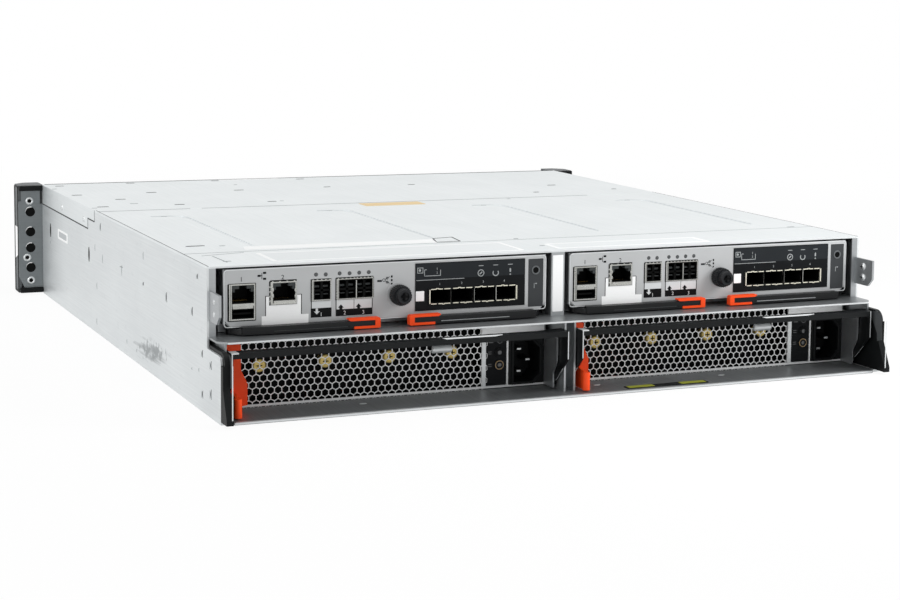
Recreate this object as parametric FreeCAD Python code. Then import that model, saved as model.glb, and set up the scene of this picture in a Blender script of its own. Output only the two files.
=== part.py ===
import FreeCAD, Part
import math
import os

from FreeCAD import Vector

# Storage controller enclosure, two rack units high.
# X runs across the enclosure, Y from the rear (connector side) to the front (drive side), Z up.
# Shapes are drawn with y = 0 at the rear edge of the upper side walls and moved once, on saving,
# so that the origin lies under the middle of the whole enclosure.

# Chassis sheet metal
BODY_WIDTH = 446.0
BODY_HEIGHT = 87.0
WALL = 1.2
FLOOR_T = 1.5
COVER_T = 1.2
SHELF_T = 1.2
FLOOR_REACH = 32.0
FLOOR_LIP_INSET = 6.0
STEP_REACH = 29.0
STEP_HEIGHT = 39.3
STEP_RADIUS = 5.0
SEAT_GAP = 0.3

# Covers
COVER_SPLIT = 4.0
COVER_FLANGE_LOW = 15.5
COVER_FLANGE_HIGH = 8.2
COVER_FLANGE_SETBACK = 9.0
COVER_FLANGE_SHORT = 22.0
GROOVE_DEPTH = 0.5
GROOVE_WIDTH = 4.0
GROOVE_FIRST_X = -173.0
GROOVE_PITCH = 120.0
GROOVE_COUNT = 4
GROOVE_START = 82.0
GROOVE_END_GAP = 52.0
GROOVE_BEND = 12.0
GROOVE_FOOT = 10.0
SEAM_LINE = 56.0
SEAM_WIDTH = 1.0
SEAM_DEPTH = 0.4
COVER_EDGE_RADIUS = 0.9
TOP_FLANGE_REACH = 6.5

# Mid shelf and bays
PSU_BAY_HEIGHT = 43.3
SHELF_REACH = 22.0
SHELF_CHAMFER = 6.0
SHELF_FLANGE_DROP = 28.5
SHELF_FLANGE_LENGTH = 60.0
SHELF_FLANGE_T = 1.2
PILLAR_WIDTH = 9.0
PILLAR_SHEET = 1.0
DIVIDER_WIDTH = 7.8
DIVIDER_SHEET = 1.2
DIVIDER_REACH = 19.4
DIVIDER_WEB_Y = -7.0

# Midplane and drive cage
MIDPLANE_GAP = 11.0
MIDPLANE_T = 3.0
MIDPLANE_EDGE = 4.0
MIDPLANE_SLOT = (26.0, 9.0)
MIDPLANE_PLUG = (38.0, 11.0, 7.0)
CAGE_GAP = 4.0
CAGE_LENGTH = 204.0
CAGE_SHEET = 1.2
CAGE_COLUMNS = 4
CAGE_ROWS = 3
CAGE_RAIL_REACH = 2.4
CAGE_RAIL_T = 1.2
CAGE_TOP_GAP = 0.4

# Drive carriers
CARRIER_SIDE_GAP = 0.5
CARRIER_LIFT = 0.3
CARRIER_HEADROOM = 0.9
CARRIER_BACK_GAP = 12.0
CARRIER_RAIL_T = 1.6
CARRIER_BEZEL_T = 12.0
CARRIER_BEZEL_BACK = 3.0
DRIVE_SIZE = (101.6, 147.0, 22.0)
DRIVE_BACK_GAP = 6.0
VENT_COUNT = 2
VENT_SIZE = (36.0, 3.2)
VENT_PITCH = 42.0
VENT_RISE = 4.6
LATCH_LENGTH = 74.0
LATCH_PROUD = 3.0
LATCH_HEIGHT = 11.0
LATCH_INSET = 6.0

# Rack ears and end caps
EAR_WIDTH = 18.5
EAR_T = 2.0
EAR_BOTTOM = 5.0
EAR_TOP = 82.0
EAR_SHOULDER = 8.5
EAR_NOTCH = 2.0
EAR_HOLE_R = 3.7
EAR_HOLE_INSET = 8.95
RACK_HOLE_NEAR = 6.35
RACK_HOLE_FAR = 22.225
EAR_SCREW_R = 3.0
EAR_SCREW_HEAD = 0.9
EAR_SCREW_RISE = (10.7, 29.0, 74.0)
EAR_SCREW_INSET = (9.0, 6.2, 8.4)
CAP_REACH = 25.0
CAP_SIDE_REACH = 17.0
CAP_WALL = 2.2
CAP_RADIUS = 5.0
CAP_END_GAP = 0.8
CAP_SCALLOP_R = 16.0
CAP_SCALLOP_DEPTH = 7.0
CAP_SCALLOP_RISE = 40.0
CAP_SLOT_R = 5.5
CAP_SLOT_CORNER = 0.6

# Rear guards and brackets
GUARD_T = 3.0
GUARD_REACH = 33.5
GUARD_TOE = 41.0
GUARD_PROUD = 2.2
GUARD_FLARE_RISE = 21.0
GUARD_TOE_RISE = 3.2
GUARD_LENGTH = 22.0
BRACKET_T = 1.5
BRACKET_FLANGE = 4.0
BRACKET_LENGTH = 24.0
TAB_REACH = 21.0
TAB_BOTTOM = 55.5
TAB_TOP = 73.0
TAB_CHAMFER = 5.0
BRACKET_SCREW_R = 2.6
BRACKET_SCREW_RISE = (60.7, 67.9)
BRACKET_SCREW_Y = -10.5
DOME_HEIGHT = 1.5
SIDE_SCREW_SETBACK = (44.5, 123.0)
SIDE_SCREW_R = 3.2
SIDE_SCREW_HEIGHT = 0.6
SIDE_SCREW_RISE = 6.0
SCREW_SIDES = 12

# Controller canisters
CANISTER_SIDE_SPACE = 8.5
CANISTER_PILLAR_GAP = 3.5
CANISTER_LIFT = 0.4
CANISTER_TOP_GAP = 1.9
CANISTER_LENGTH = 268.0
CANISTER_SHEET = 1.0
FACE_T = 1.4
FACE_RISE = 4.4
FACE_CHAMFER = 4.0
FACE_TOP_CHAMFER = 1.8
FACE_BEVEL = 0.8
LEVER_RECESS_DEPTH = 10.5
LEVER_RECESS_RISE = 2.2
BOARD_T = 1.6
BOARD_RISE = 6.2
BOARD_EDGE = 2.0
COOLER_SIZE = (60.0, 70.0, 22.0)
COOLER_X = 70.0
COOLER_Y = 90.0
COOLER_BASE = 4.0
FIN_T = 2.0
FIN_COUNT = 6
MEMORY_SIZE = (3.0, 110.0, 24.0)
MEMORY_X = 20.0
MEMORY_Y = 80.0
MEMORY_PITCH = 10.0
MEMORY_COUNT = 3
BATTERY_SIZE = (45.0, 110.0, 20.0)
BATTERY_INSET = 15.3
BATTERY_Y = 130.0

# Canister connectors, measured from the canister's left edge and the underside of the chassis
STACK_X = 3.0
STACK_WIDTH = 16.3
STACK_BOTTOM = 54.2
STACK_TOP = 76.3
JACK_X = 27.9
JACK_WIDTH = 16.1
JACK_BOTTOM = 62.6
JACK_TOP = 77.2
SAS_BOTTOM = 63.4
SAS_TOP = 76.6
SAS_SINGLE_X = 52.7
SAS_SINGLE_WIDTH = 12.6
SAS_DOUBLE_X = 68.0
SAS_DOUBLE_WIDTH = 23.6
PORT_DEPTH = 18.0
PORT_CAVITY = 14.0
PORT_FRAME = 1.4
PORT_FIT = 0.1
PORT_PROUD = 0.6
USB_HEIGHT = 5.6
USB_SHELF = 3.0
JACK_LATCH_WIDTH = 4.4
JACK_LATCH_DROP = 2.2
HOST_X = 118.2
HOST_WIDTH = 72.5
HOST_BOTTOM = 53.8
HOST_TOP = 83.0
HOST_PROUD = 0.4
CAGE4_X = 126.8
CAGE4_WIDTH = 59.1
CAGE4_BOTTOM = 57.3
CAGE4_TOP = 67.3
CAGE4_WALL = 0.8
CAGE4_LENGTH = 48.0
CAGE4_CAVITY = 46.0
CAGE4_PORTS = 4
CAGE4_PROUD = 0.8
SERVICE_X = 198.0
SERVICE_RISE = 75.3
SERVICE_R = 2.4
KNOB_X = 107.5
KNOB_RISE = 64.8
KNOB_R = 6.3
KNOB_NOSE_R = 4.9
KNOB_BASE = 7.0
KNOB_NOSE = 4.0
KNOB_FLUTES = 10
KNOB_FLUTE_DEPTH = 0.6
KNOB_SLOT_WIDTH = 1.6
KNOB_SLOT_DEPTH = 2.0
KNOB_SLOT_REACH = 3.6
KNOB_SHAFT_R = 2.2
KNOB_SHAFT_LENGTH = 10.0
KNOB_SHAFT_FIT = 0.05
KNOB_GAP = 0.4

# Canister levers
LEVER_PIVOT_INSET = 7.0
LEVER_PIVOT_Y = 5.0
LEVER_BOSS_R = 4.4
LEVER_LIFT = 0.5
LEVER_HEIGHT = 4.4
LEVER_NECK_HEIGHT = 3.0
LEVER_SHEET = 1.2
LEVER_FACE_Y = -7.5
LEVER_DEPTH = 5.6
LEVER_END = 90.2
LEVER_BEND = 24.0
TIP_START = 77.0
TIP_END = 93.4
TIP_TOP = 53.0
TIP_DEPTH = 4.4
TIP_WALL = 1.3
TIP_NOSE = 3.6
PIN_R = 1.5
PIN_FIT = 0.05

# Power supplies
PSU_FACE_Y = 4.0
PSU_LENGTH = 262.0
PSU_SHEET = 1.0
PSU_LIFT = 0.5
PSU_TOP_GAP = 1.4
PSU_ARM_CLEAR = 0.8
PSU_RIGHT_CLEAR = 0.5
PSU_ARM_GAP = 0.5
GRILLE_MARGIN = 6.0
GRILLE_LAMP_GAP = 3.3
GRILLE_BOTTOM = 1.8
GRILLE_TOP_MARGIN = 2.0
GRILLE_PITCH = 8.86
GRILLE_WEB = 1.3
GRILLE_T = 1.2
GRILLE_CLIP_INSET = 43.3
GRILLE_CLIP_LENGTH = 13.0
GRILLE_CLIP_RISE = 28.4
GRILLE_CLIP_R = 2.3
BULKHEAD_DEPTH = 14.0
PSU_BOARD_RISE = 4.0
PSU_BOARD_T = 1.6
PSU_BOARD_EDGE = 4.0
PSU_POST_R = 2.5
PSU_POST_INSET = 12.0
PSU_SINK = 0.2
HEAT_SINK = (8.0, 120.0, 26.0)
HEAT_SINK_X = (38.0, 96.0, 150.0)
HEAT_SINK_Y = 30.0
COIL_SIZE = (34.0, 38.0, 24.0)
COIL_X = (54.0, 112.0)
COIL_Y = 60.0
CAPACITOR_R = 9.0
CAPACITOR_HEIGHT = 27.0
CAPACITOR_Y = 30.0
PSU_PLUG = (70.0, 14.0, 11.0)
BRASS_FIRST_X = 26.0
BRASS_MARGIN = 36.6
BRASS_COUNT = 4
BRASS_RISE = 25.0
BRASS_R = 3.6
BRASS_LENGTH = 9.0
LAMP_PANEL_INSET = 40.4
LAMP_PANEL_WIDTH = 14.0
LAMP_PANEL_BOTTOM = 3.8
LAMP_PANEL_TOP = 36.0
LAMP_X = 9.0
LAMP_RISE = (16.3, 24.2)
LAMP_R = 2.2
LAMP_PROUD = 0.8
INLET_INSET = 25.3
INLET_WIDTH = 24.2
INLET_BOTTOM = 3.2
INLET_TOP = 36.0
INLET_DEPTH = 24.0
INLET_CAVITY = (17.4, 25.4, 17.0)
INLET_CAVITY_X = 3.6
INLET_CENTRE_RISE = 17.6
INLET_CORNER = 5.0
INLET_PIN = (2.0, 4.0)
INLET_PIN_SPREAD = 7.0
INLET_PIN_OFFSET = 3.0
INLET_PIN_LENGTH = 11.8

# Power supply handle, a folded steel bail
HANDLE_T = 1.2
HANDLE_REACH = 27.6
HANDLE_TOP = 40.6
HANDLE_BAR_HEIGHT = 3.4
HANDLE_BAR_DEPTH = 8.0
HANDLE_SHOULDER = 23.0
HANDLE_STRIP = 12.0
HANDLE_PIVOT_Y = -5.5
HANDLE_PIVOT_RISE = 7.4
HANDLE_BOSS_R = 4.4
HANDLE_EAR_REACH = 15.0
HANDLE_EAR_BEND = 20.0
HANDLE_EAR_TOP = 37.0
HANDLE_PIN_R = 1.6
HANDLE_LIP_INSET = 82.7
HANDLE_LIP_LENGTH = 40.0
HANDLE_LIP_RISE = 1.0
HANDLE_GUSSET = 20.0

# Power supply release latch
LATCH_FIN_X = 2.4
LATCH_FIN_WIDTH = 12.7
LATCH_FIN_BOTTOM = 4.6
LATCH_FIN_SHOULDER = 17.4
LATCH_FIN_TOP = 26.0
LATCH_STEM_TOP = 41.0
LATCH_STEM_WIDTH = 8.8
LATCH_T = 2.0
LATCH_Y = -2.2
LATCH_PAD_REACH = 24.0
LATCH_PAD_R = 2.3
LATCH_PAD_BOTTOM = 2.4
LATCH_PAD_TOP = 13.5
LATCH_WEB_T = 1.6

HALF = BODY_WIDTH / 2
INNER = HALF - WALL
COVER_UNDER = BODY_HEIGHT - COVER_T
WALL_TOP = COVER_UNDER
SHELF_BOTTOM = FLOOR_T + PSU_BAY_HEIGHT
SHELF_TOP = SHELF_BOTTOM + SHELF_T
MIDPLANE_Y = max(CANISTER_LENGTH, PSU_FACE_Y + PSU_LENGTH) + MIDPLANE_GAP
SHELF_END = MIDPLANE_Y - SEAT_GAP
CAGE_START = MIDPLANE_Y + MIDPLANE_T + CAGE_GAP
REAR_COVER_END = CAGE_START + COVER_SPLIT
COVER_FLANGE_START = REAR_COVER_END + COVER_FLANGE_SETBACK
COVER_FLANGE_STEP = COVER_FLANGE_START + COVER_FLANGE_SHORT
GROOVE_END = REAR_COVER_END - GROOVE_END_GAP
EAR_PLANE = CAGE_START + CAGE_LENGTH
CENTRE_Y = (EAR_PLANE + CAP_REACH - GUARD_TOE) / 2

CANISTER_WIDTH = INNER - CANISTER_SIDE_SPACE - PILLAR_WIDTH / 2 - CANISTER_PILLAR_GAP
CANISTER_BOTTOM = SHELF_TOP + CANISTER_LIFT
CANISTER_TOP = COVER_UNDER - CANISTER_TOP_GAP + 0.8
FACE_BOTTOM = SHELF_TOP + FACE_RISE
BOARD_TOP = CANISTER_BOTTOM + BOARD_RISE + BOARD_T
LEVER_BOTTOM = CANISTER_BOTTOM + LEVER_LIFT
LEVER_TOP = LEVER_BOTTOM + LEVER_HEIGHT

ARM_OUTER = INNER - GUARD_T - SEAT_GAP - SHELF_FLANGE_T - PSU_ARM_CLEAR
PSU_LEFT = -ARM_OUTER + HANDLE_T + PSU_ARM_GAP
PSU_RIGHT = -DIVIDER_WIDTH / 2 - PSU_RIGHT_CLEAR - HANDLE_T - PSU_ARM_GAP
PSU_WIDTH = PSU_RIGHT - PSU_LEFT
PSU_BOTTOM = FLOOR_T + PSU_LIFT
PSU_TOP = SHELF_BOTTOM - PSU_TOP_GAP
PSU_PITCH = ARM_OUTER + DIVIDER_WIDTH / 2 + PSU_RIGHT_CLEAR
LAMP_PANEL_X = PSU_WIDTH - LAMP_PANEL_INSET
INLET_X = PSU_WIDTH - INLET_INSET
GRILLE_WIDTH = LAMP_PANEL_X - GRILLE_MARGIN - GRILLE_LAMP_GAP
GRILLE_CLIP_X = LAMP_PANEL_X - GRILLE_CLIP_INSET
BRASS_PITCH = (GRILLE_WIDTH - BRASS_MARGIN) / (BRASS_COUNT - 1)
HANDLE_LIP_X = PSU_WIDTH - HANDLE_LIP_INSET

SIDES = (-1, 1)


def box(x0, x1, y0, y1, z0, z1):
    """A block between two corners."""
    return Part.makeBox(x1 - x0, y1 - y0, z1 - z0, Vector(x0, y0, z0))


def rod(radius, length, start, direction):
    """A round bar from a start point along a direction."""
    return Part.makeCylinder(radius, length, Vector(*start), Vector(*direction))


def corner_arc(before, corner, after, radius):
    """Tangent points and middle point of the arc that rounds one corner."""
    u = (before - corner).normalize()
    v = (after - corner).normalize()
    half_angle = math.acos(max(-1.0, min(1.0, u.dot(v)))) / 2
    reach = radius / math.tan(half_angle)
    bisector = (u + v).normalize()
    middle = corner + bisector * (radius / math.sin(half_angle) - radius)
    return corner + u * reach, middle, corner + v * reach


def outline(points, place):
    """A flat face from (u, v, radius) corners; place turns (u, v) into a point in space."""
    corners = [place(p[0], p[1]) for p in points]
    count = len(corners)
    starts = []
    ends = []
    arcs = []
    for i, point in enumerate(points):
        radius = point[2] if len(point) > 2 else 0.0
        if radius <= 0:
            starts.append(corners[i])
            ends.append(corners[i])
            arcs.append(None)
            continue
        first, middle, last = corner_arc(corners[i - 1], corners[i], corners[(i + 1) % count], radius)
        starts.append(first)
        ends.append(last)
        arcs.append(middle)
    edges = []
    for i in range(count):
        if arcs[i] is not None:
            edges.append(Part.Arc(starts[i], arcs[i], ends[i]).toShape())
        here = ends[i]
        there = starts[(i + 1) % count]
        if here.distanceToPoint(there) > 1e-6:
            edges.append(Part.makeLine(here, there))
    return Part.Face(Part.Wire(edges))


def side_plate(points, x0, x1):
    """A plate with a (y, z) outline between two x values."""
    return outline(points, lambda y, z: Vector(x0, y, z)).extrude(Vector(x1 - x0, 0, 0))


def face_plate(points, y0, y1):
    """A plate with an (x, z) outline between two y values."""
    return outline(points, lambda x, z: Vector(x, y0, z)).extrude(Vector(0, y1 - y0, 0))


def flat_plate(points, z0, z1):
    """A plate with an (x, y) outline between two z values."""
    return outline(points, lambda x, y: Vector(x, y, z0)).extrude(Vector(0, 0, z1 - z0))


def ring_points(radius, count, u, v):
    """Corners of a regular outline round a middle point."""
    points = []
    for k in range(count):
        angle = 2 * math.pi * (k + 0.5) / count
        points.append((u + radius * math.cos(angle), v + radius * math.sin(angle)))
    return points


def mirrored(shape):
    """The same shape on the other side of the enclosure's middle plane."""
    return shape.mirror(Vector(0, 0, 0), Vector(1, 0, 0))


def fuse(shapes):
    """One solid from touching shapes."""
    first = shapes[0]
    return first.multiFuse(shapes[1:]).removeSplitter() if len(shapes) > 1 else first


def single(shape):
    """The solid of a boolean result that holds one solid."""
    return shape.Solids[0] if len(shape.Solids) == 1 else shape


def save(name, solids):
    """Writes one node, made of one solid or a group of separate solids."""
    shape = single(solids[0]) if len(solids) == 1 else Part.makeCompound([single(s) for s in solids])
    moved = shape.copy()
    moved.translate(Vector(0, -CENTRE_Y, 0))
    moved.exportStep("parts/" + name + ".step")


# Chassis

def base_tray():
    """Floor and side walls in one folded sheet, with the stepped rear edge."""
    low = WALL_TOP + COVER_T - COVER_FLANGE_LOW - SEAT_GAP
    high = WALL_TOP + COVER_T - COVER_FLANGE_HIGH - SEAT_GAP
    wall_outline = [
        (-STEP_REACH, 0),
        (-STEP_REACH, STEP_HEIGHT, STEP_RADIUS),
        (0, STEP_HEIGHT, 1.5),
        (0, WALL_TOP),
        (COVER_FLANGE_START - SEAT_GAP, WALL_TOP),
        (COVER_FLANGE_START - SEAT_GAP, high),
        (COVER_FLANGE_STEP - SEAT_GAP, high),
        (COVER_FLANGE_STEP - SEAT_GAP, low),
        (EAR_PLANE, low),
        (EAR_PLANE, 0),
    ]
    left = side_plate(wall_outline, -HALF, -INNER)
    floor = box(-HALF, HALF, -STEP_REACH, EAR_PLANE, 0, FLOOR_T)
    lip = box(-INNER + FLOOR_LIP_INSET, INNER - FLOOR_LIP_INSET, -FLOOR_REACH, -STEP_REACH, 0, FLOOR_T)
    ledge = box(-INNER, -INNER + TOP_FLANGE_REACH, BRACKET_LENGTH, SHELF_END, WALL_TOP - WALL, WALL_TOP)
    return fuse([floor, lip, left, mirrored(left), ledge, mirrored(ledge)])


def front_cover():
    """Cover over the drive cage, with flanges folded down over the cut-out side walls."""
    start = REAR_COVER_END + SEAT_GAP
    top = box(-HALF, HALF, start, EAR_PLANE, COVER_UNDER, BODY_HEIGHT)
    flange = side_plate([
        (COVER_FLANGE_START, COVER_UNDER),
        (COVER_FLANGE_START, BODY_HEIGHT - COVER_FLANGE_HIGH),
        (COVER_FLANGE_STEP, BODY_HEIGHT - COVER_FLANGE_HIGH),
        (COVER_FLANGE_STEP, BODY_HEIGHT - COVER_FLANGE_LOW),
        (EAR_PLANE, BODY_HEIGHT - COVER_FLANGE_LOW),
        (EAR_PLANE, COVER_UNDER),
    ], -HALF, -INNER)
    return rounded_long_edges(fuse([top, flange, mirrored(flange)]))


def rounded_long_edges(shape):
    """Rounds the fold along the cover's two outer top edges."""
    edges = []
    for edge in shape.Edges:
        ends = [v.Point for v in edge.Vertexes]
        on_fold = all(abs(abs(p.x) - HALF) < 1e-6 and abs(p.z - BODY_HEIGHT) < 1e-6 for p in ends)
        if len(ends) == 2 and on_fold:
            edges.append(edge)
    return shape.makeFillet(COVER_EDGE_RADIUS, edges)


def cover_groove(x):
    """One hockey-stick stiffening groove of the rear cover: a long leg, a bend and a short foot."""
    half = GROOVE_WIDTH / 2
    z0 = BODY_HEIGHT - GROOVE_DEPTH
    z1 = BODY_HEIGHT + 1
    leg = box(x - half, x + half, GROOVE_START, GROOVE_END, z0, z1)
    centre = Vector(x - GROOVE_BEND, GROOVE_END, z0)
    height = Vector(0, 0, 1)
    outer = Part.makeCylinder(GROOVE_BEND + half, z1 - z0, centre, height, 90)
    inner = Part.makeCylinder(GROOVE_BEND - half, z1 - z0, centre, height, 90)
    foot_y = GROOVE_END + GROOVE_BEND
    foot = box(x - GROOVE_BEND - GROOVE_FOOT, x - GROOVE_BEND, foot_y - half, foot_y + half, z0, z1)
    return fuse([leg, outer.cut(inner), foot])


def rear_cover():
    """Cover over the canisters, with four grooves and the line where its rear strip is joggled."""
    cover = rounded_long_edges(box(-HALF, HALF, 0, REAR_COVER_END, COVER_UNDER, BODY_HEIGHT))
    tools = [cover_groove(GROOVE_FIRST_X + i * GROOVE_PITCH) for i in range(GROOVE_COUNT)]
    seam = box(-HALF + COVER_EDGE_RADIUS, HALF - COVER_EDGE_RADIUS, SEAM_LINE, SEAM_LINE + SEAM_WIDTH,
               BODY_HEIGHT - SEAM_DEPTH, BODY_HEIGHT + 1)
    return cover.cut(tools + [seam])


def mid_shelf():
    """Shelf between the canister bays and the power supply bays, with a folded flange at each side."""
    flange_outer = INNER - GUARD_T - SEAT_GAP
    shelf = flat_plate([
        (-INNER + SHELF_CHAMFER, -SHELF_REACH),
        (INNER - SHELF_CHAMFER, -SHELF_REACH),
        (INNER, -SHELF_REACH + SHELF_CHAMFER),
        (INNER, SHELF_END),
        (-INNER, SHELF_END),
        (-INNER, -SHELF_REACH + SHELF_CHAMFER),
    ], SHELF_BOTTOM, SHELF_TOP)
    bottom = SHELF_BOTTOM - SHELF_FLANGE_DROP
    flange = side_plate([
        (-SHELF_REACH + 1, SHELF_BOTTOM),
        (-SHELF_REACH + 1, bottom + 10),
        (-SHELF_REACH + 7, bottom),
        (SHELF_FLANGE_LENGTH - SHELF_REACH, bottom),
        (SHELF_FLANGE_LENGTH - SHELF_REACH, SHELF_BOTTOM),
    ], -flange_outer, -flange_outer + SHELF_FLANGE_T)
    return fuse([shelf, flange, mirrored(flange)])


def centre_divider():
    """Upper pillar between the canisters and the lower channel between the power supplies."""
    half = PILLAR_WIDTH / 2
    pillar = box(-half, half, 0, SHELF_END, SHELF_TOP, COVER_UNDER)
    hollow = box(-half + PILLAR_SHEET, half - PILLAR_SHEET, PILLAR_SHEET, SHELF_END + 1,
                 SHELF_TOP - 1, COVER_UNDER + 1)
    half = DIVIDER_WIDTH / 2
    channel = box(-half, half, -DIVIDER_REACH, SHELF_END, FLOOR_T, SHELF_BOTTOM)
    rear_slot = box(-half + DIVIDER_SHEET, half - DIVIDER_SHEET, -DIVIDER_REACH - 1, DIVIDER_WEB_Y,
                    FLOOR_T - 1, SHELF_BOTTOM + 1)
    inside = box(-half + DIVIDER_SHEET, half - DIVIDER_SHEET, DIVIDER_WEB_Y + DIVIDER_SHEET, SHELF_END + 1,
                 FLOOR_T - 1, SHELF_BOTTOM + 1)
    return [pillar.cut(hollow), channel.cut([rear_slot, inside])]


def midplane():
    """Circuit board across the enclosure, with air slots and the sockets on both faces."""
    half = INNER - MIDPLANE_EDGE
    bottom = FLOOR_T + SEAT_GAP
    top = COVER_UNDER - SEAT_GAP
    board = box(-half, half, MIDPLANE_Y, MIDPLANE_Y + MIDPLANE_T, bottom, top)
    width, height = MIDPLANE_SLOT
    column = (BODY_WIDTH - 2 * WALL) / CAGE_COLUMNS
    row = (COVER_UNDER - FLOOR_T) / CAGE_ROWS
    slots = []
    sockets = []
    long, tall, deep = MIDPLANE_PLUG
    for c in range(CAGE_COLUMNS):
        x = -INNER + column * (c + 0.5)
        for r in range(CAGE_ROWS):
            z = FLOOR_T + row * (r + 0.5)
            for side in SIDES:
                sx = x + side * (long / 2 + width / 2 + 3)
                slots.append(box(sx - width / 2, sx + width / 2, MIDPLANE_Y - 1, MIDPLANE_Y + MIDPLANE_T + 1,
                                 z - height / 2, z + height / 2))
            sockets.append(box(x - long / 2, x + long / 2, MIDPLANE_Y + MIDPLANE_T,
                               MIDPLANE_Y + MIDPLANE_T + deep, z - tall / 2, z + tall / 2))
    return [board.cut(slots)] + sockets


def drive_cage():
    """Four columns of drive bays: side liners and dividers, each with its guide rails."""
    column = (BODY_WIDTH - 2 * WALL) / CAGE_COLUMNS
    row = (COVER_UNDER - FLOOR_T) / CAGE_ROWS
    top = COVER_UNDER - CAGE_TOP_GAP
    panels = []
    for c in range(CAGE_COLUMNS + 1):
        x = -INNER + column * c
        left_edge = x if c == 0 else x - CAGE_SHEET / 2
        right_edge = x if c == CAGE_COLUMNS else x + CAGE_SHEET / 2
        if c == 0:
            right_edge = x + CAGE_SHEET
        if c == CAGE_COLUMNS:
            left_edge = x - CAGE_SHEET
        pieces = [box(left_edge, right_edge, CAGE_START, EAR_PLANE, FLOOR_T, top)]
        rail_left = left_edge - (CAGE_RAIL_REACH if c > 0 else 0)
        rail_right = right_edge + (CAGE_RAIL_REACH if c < CAGE_COLUMNS else 0)
        for r in range(1, CAGE_ROWS):
            z = FLOOR_T + row * r
            pieces.append(box(rail_left, rail_right, CAGE_START, EAR_PLANE, z, z + CAGE_RAIL_T))
        panels.append(fuse(pieces))
    return panels


def ear_screws():
    """The heads of the three screws that hold each end cap to its ear."""
    heads = []
    for side in SIDES:
        for rise, inset in zip(EAR_SCREW_RISE, EAR_SCREW_INSET):
            points = ring_points(EAR_SCREW_R, SCREW_SIDES, side * (HALF + EAR_WIDTH - inset), rise)
            heads.append(face_plate(points, EAR_PLANE - EAR_SCREW_HEAD, EAR_PLANE))
    return heads


def rack_ears():
    """Mounting ears with four plain holes each, on the rack's hole spacing."""
    inner = INNER
    outer = HALF + EAR_WIDTH
    shoulder = EAR_TOP - EAR_SHOULDER
    ear = face_plate([
        (inner, EAR_BOTTOM),
        (outer - EAR_NOTCH * 2, EAR_BOTTOM),
        (outer - EAR_NOTCH, EAR_BOTTOM + EAR_SHOULDER / 2),
        (outer, EAR_BOTTOM + EAR_SHOULDER),
        (outer, shoulder),
        (outer - EAR_NOTCH, shoulder + 0.5),
        (outer - EAR_NOTCH, EAR_TOP),
        (HALF + EAR_NOTCH, EAR_TOP),
        (HALF + EAR_NOTCH, shoulder - EAR_NOTCH),
        (inner, shoulder - EAR_NOTCH),
    ], EAR_PLANE, EAR_PLANE + EAR_T)
    middle = BODY_HEIGHT / 2
    rises = [middle + s * d for s in SIDES for d in (RACK_HOLE_NEAR, RACK_HOLE_FAR)]
    holes = [rod(EAR_HOLE_R, EAR_T + 2, (outer - EAR_HOLE_INSET, EAR_PLANE - 1, z), (0, 1, 0)) for z in rises]
    ear = ear.cut(holes)
    return [mirrored(ear), ear]


def access_slot(x, y, side):
    """Slot with cut corners through a cap, in line with one pair of rack holes."""
    near = BODY_HEIGHT / 2 + side * RACK_HOLE_NEAR
    far = BODY_HEIGHT / 2 + side * RACK_HOLE_FAR
    low = min(near, far)
    high = max(near, far)
    corner = CAP_SLOT_R * CAP_SLOT_CORNER
    return face_plate([
        (x - CAP_SLOT_R, low - CAP_SLOT_R + corner),
        (x - CAP_SLOT_R + corner, low - CAP_SLOT_R),
        (x + CAP_SLOT_R - corner, low - CAP_SLOT_R),
        (x + CAP_SLOT_R, low - CAP_SLOT_R + corner),
        (x + CAP_SLOT_R, high + CAP_SLOT_R - corner),
        (x + CAP_SLOT_R - corner, high + CAP_SLOT_R),
        (x - CAP_SLOT_R + corner, high + CAP_SLOT_R),
        (x - CAP_SLOT_R, high + CAP_SLOT_R - corner),
    ], y, y + CAP_REACH * 2)


def end_caps():
    """Moulded caps in front of the ears: a hollow nose with a finger scallop on the outer side."""
    inner = INNER
    outer = HALF + EAR_WIDTH
    rear = EAR_PLANE + EAR_T
    nose = EAR_PLANE + CAP_REACH
    bottom = CAP_END_GAP
    top = BODY_HEIGHT - CAP_END_GAP
    cap = flat_plate([
        (inner, rear),
        (outer, rear),
        (outer, EAR_PLANE + CAP_SIDE_REACH, 2.0),
        (outer - 8, nose, CAP_RADIUS),
        (inner, nose, 1.5),
    ], bottom, top)
    hollow = flat_plate([
        (inner + CAP_WALL, rear - 1),
        (outer - CAP_WALL, rear - 1),
        (outer - CAP_WALL, EAR_PLANE + CAP_SIDE_REACH - CAP_WALL),
        (outer - 8 - CAP_WALL, nose - CAP_WALL),
        (inner + CAP_WALL, nose - CAP_WALL),
    ], bottom + CAP_WALL, top - CAP_WALL)
    scallop_x = outer + CAP_SCALLOP_R - CAP_SCALLOP_DEPTH
    groove = rod(CAP_SCALLOP_R, CAP_REACH, (scallop_x, rear + CAP_WALL + 2, CAP_SCALLOP_RISE), (0, 1, 0))
    inner_groove = rod(CAP_SCALLOP_R + CAP_WALL, CAP_REACH * 2,
                       (scallop_x, rear - 2, CAP_SCALLOP_RISE), (0, 1, 0))
    slots = [access_slot(outer - EAR_HOLE_INSET, rear - 1, side) for side in SIDES]
    hollow = hollow.cut(inner_groove)
    shell = cap.cut(hollow).cut(groove).cut(slots)
    return [mirrored(shell), shell]


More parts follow.
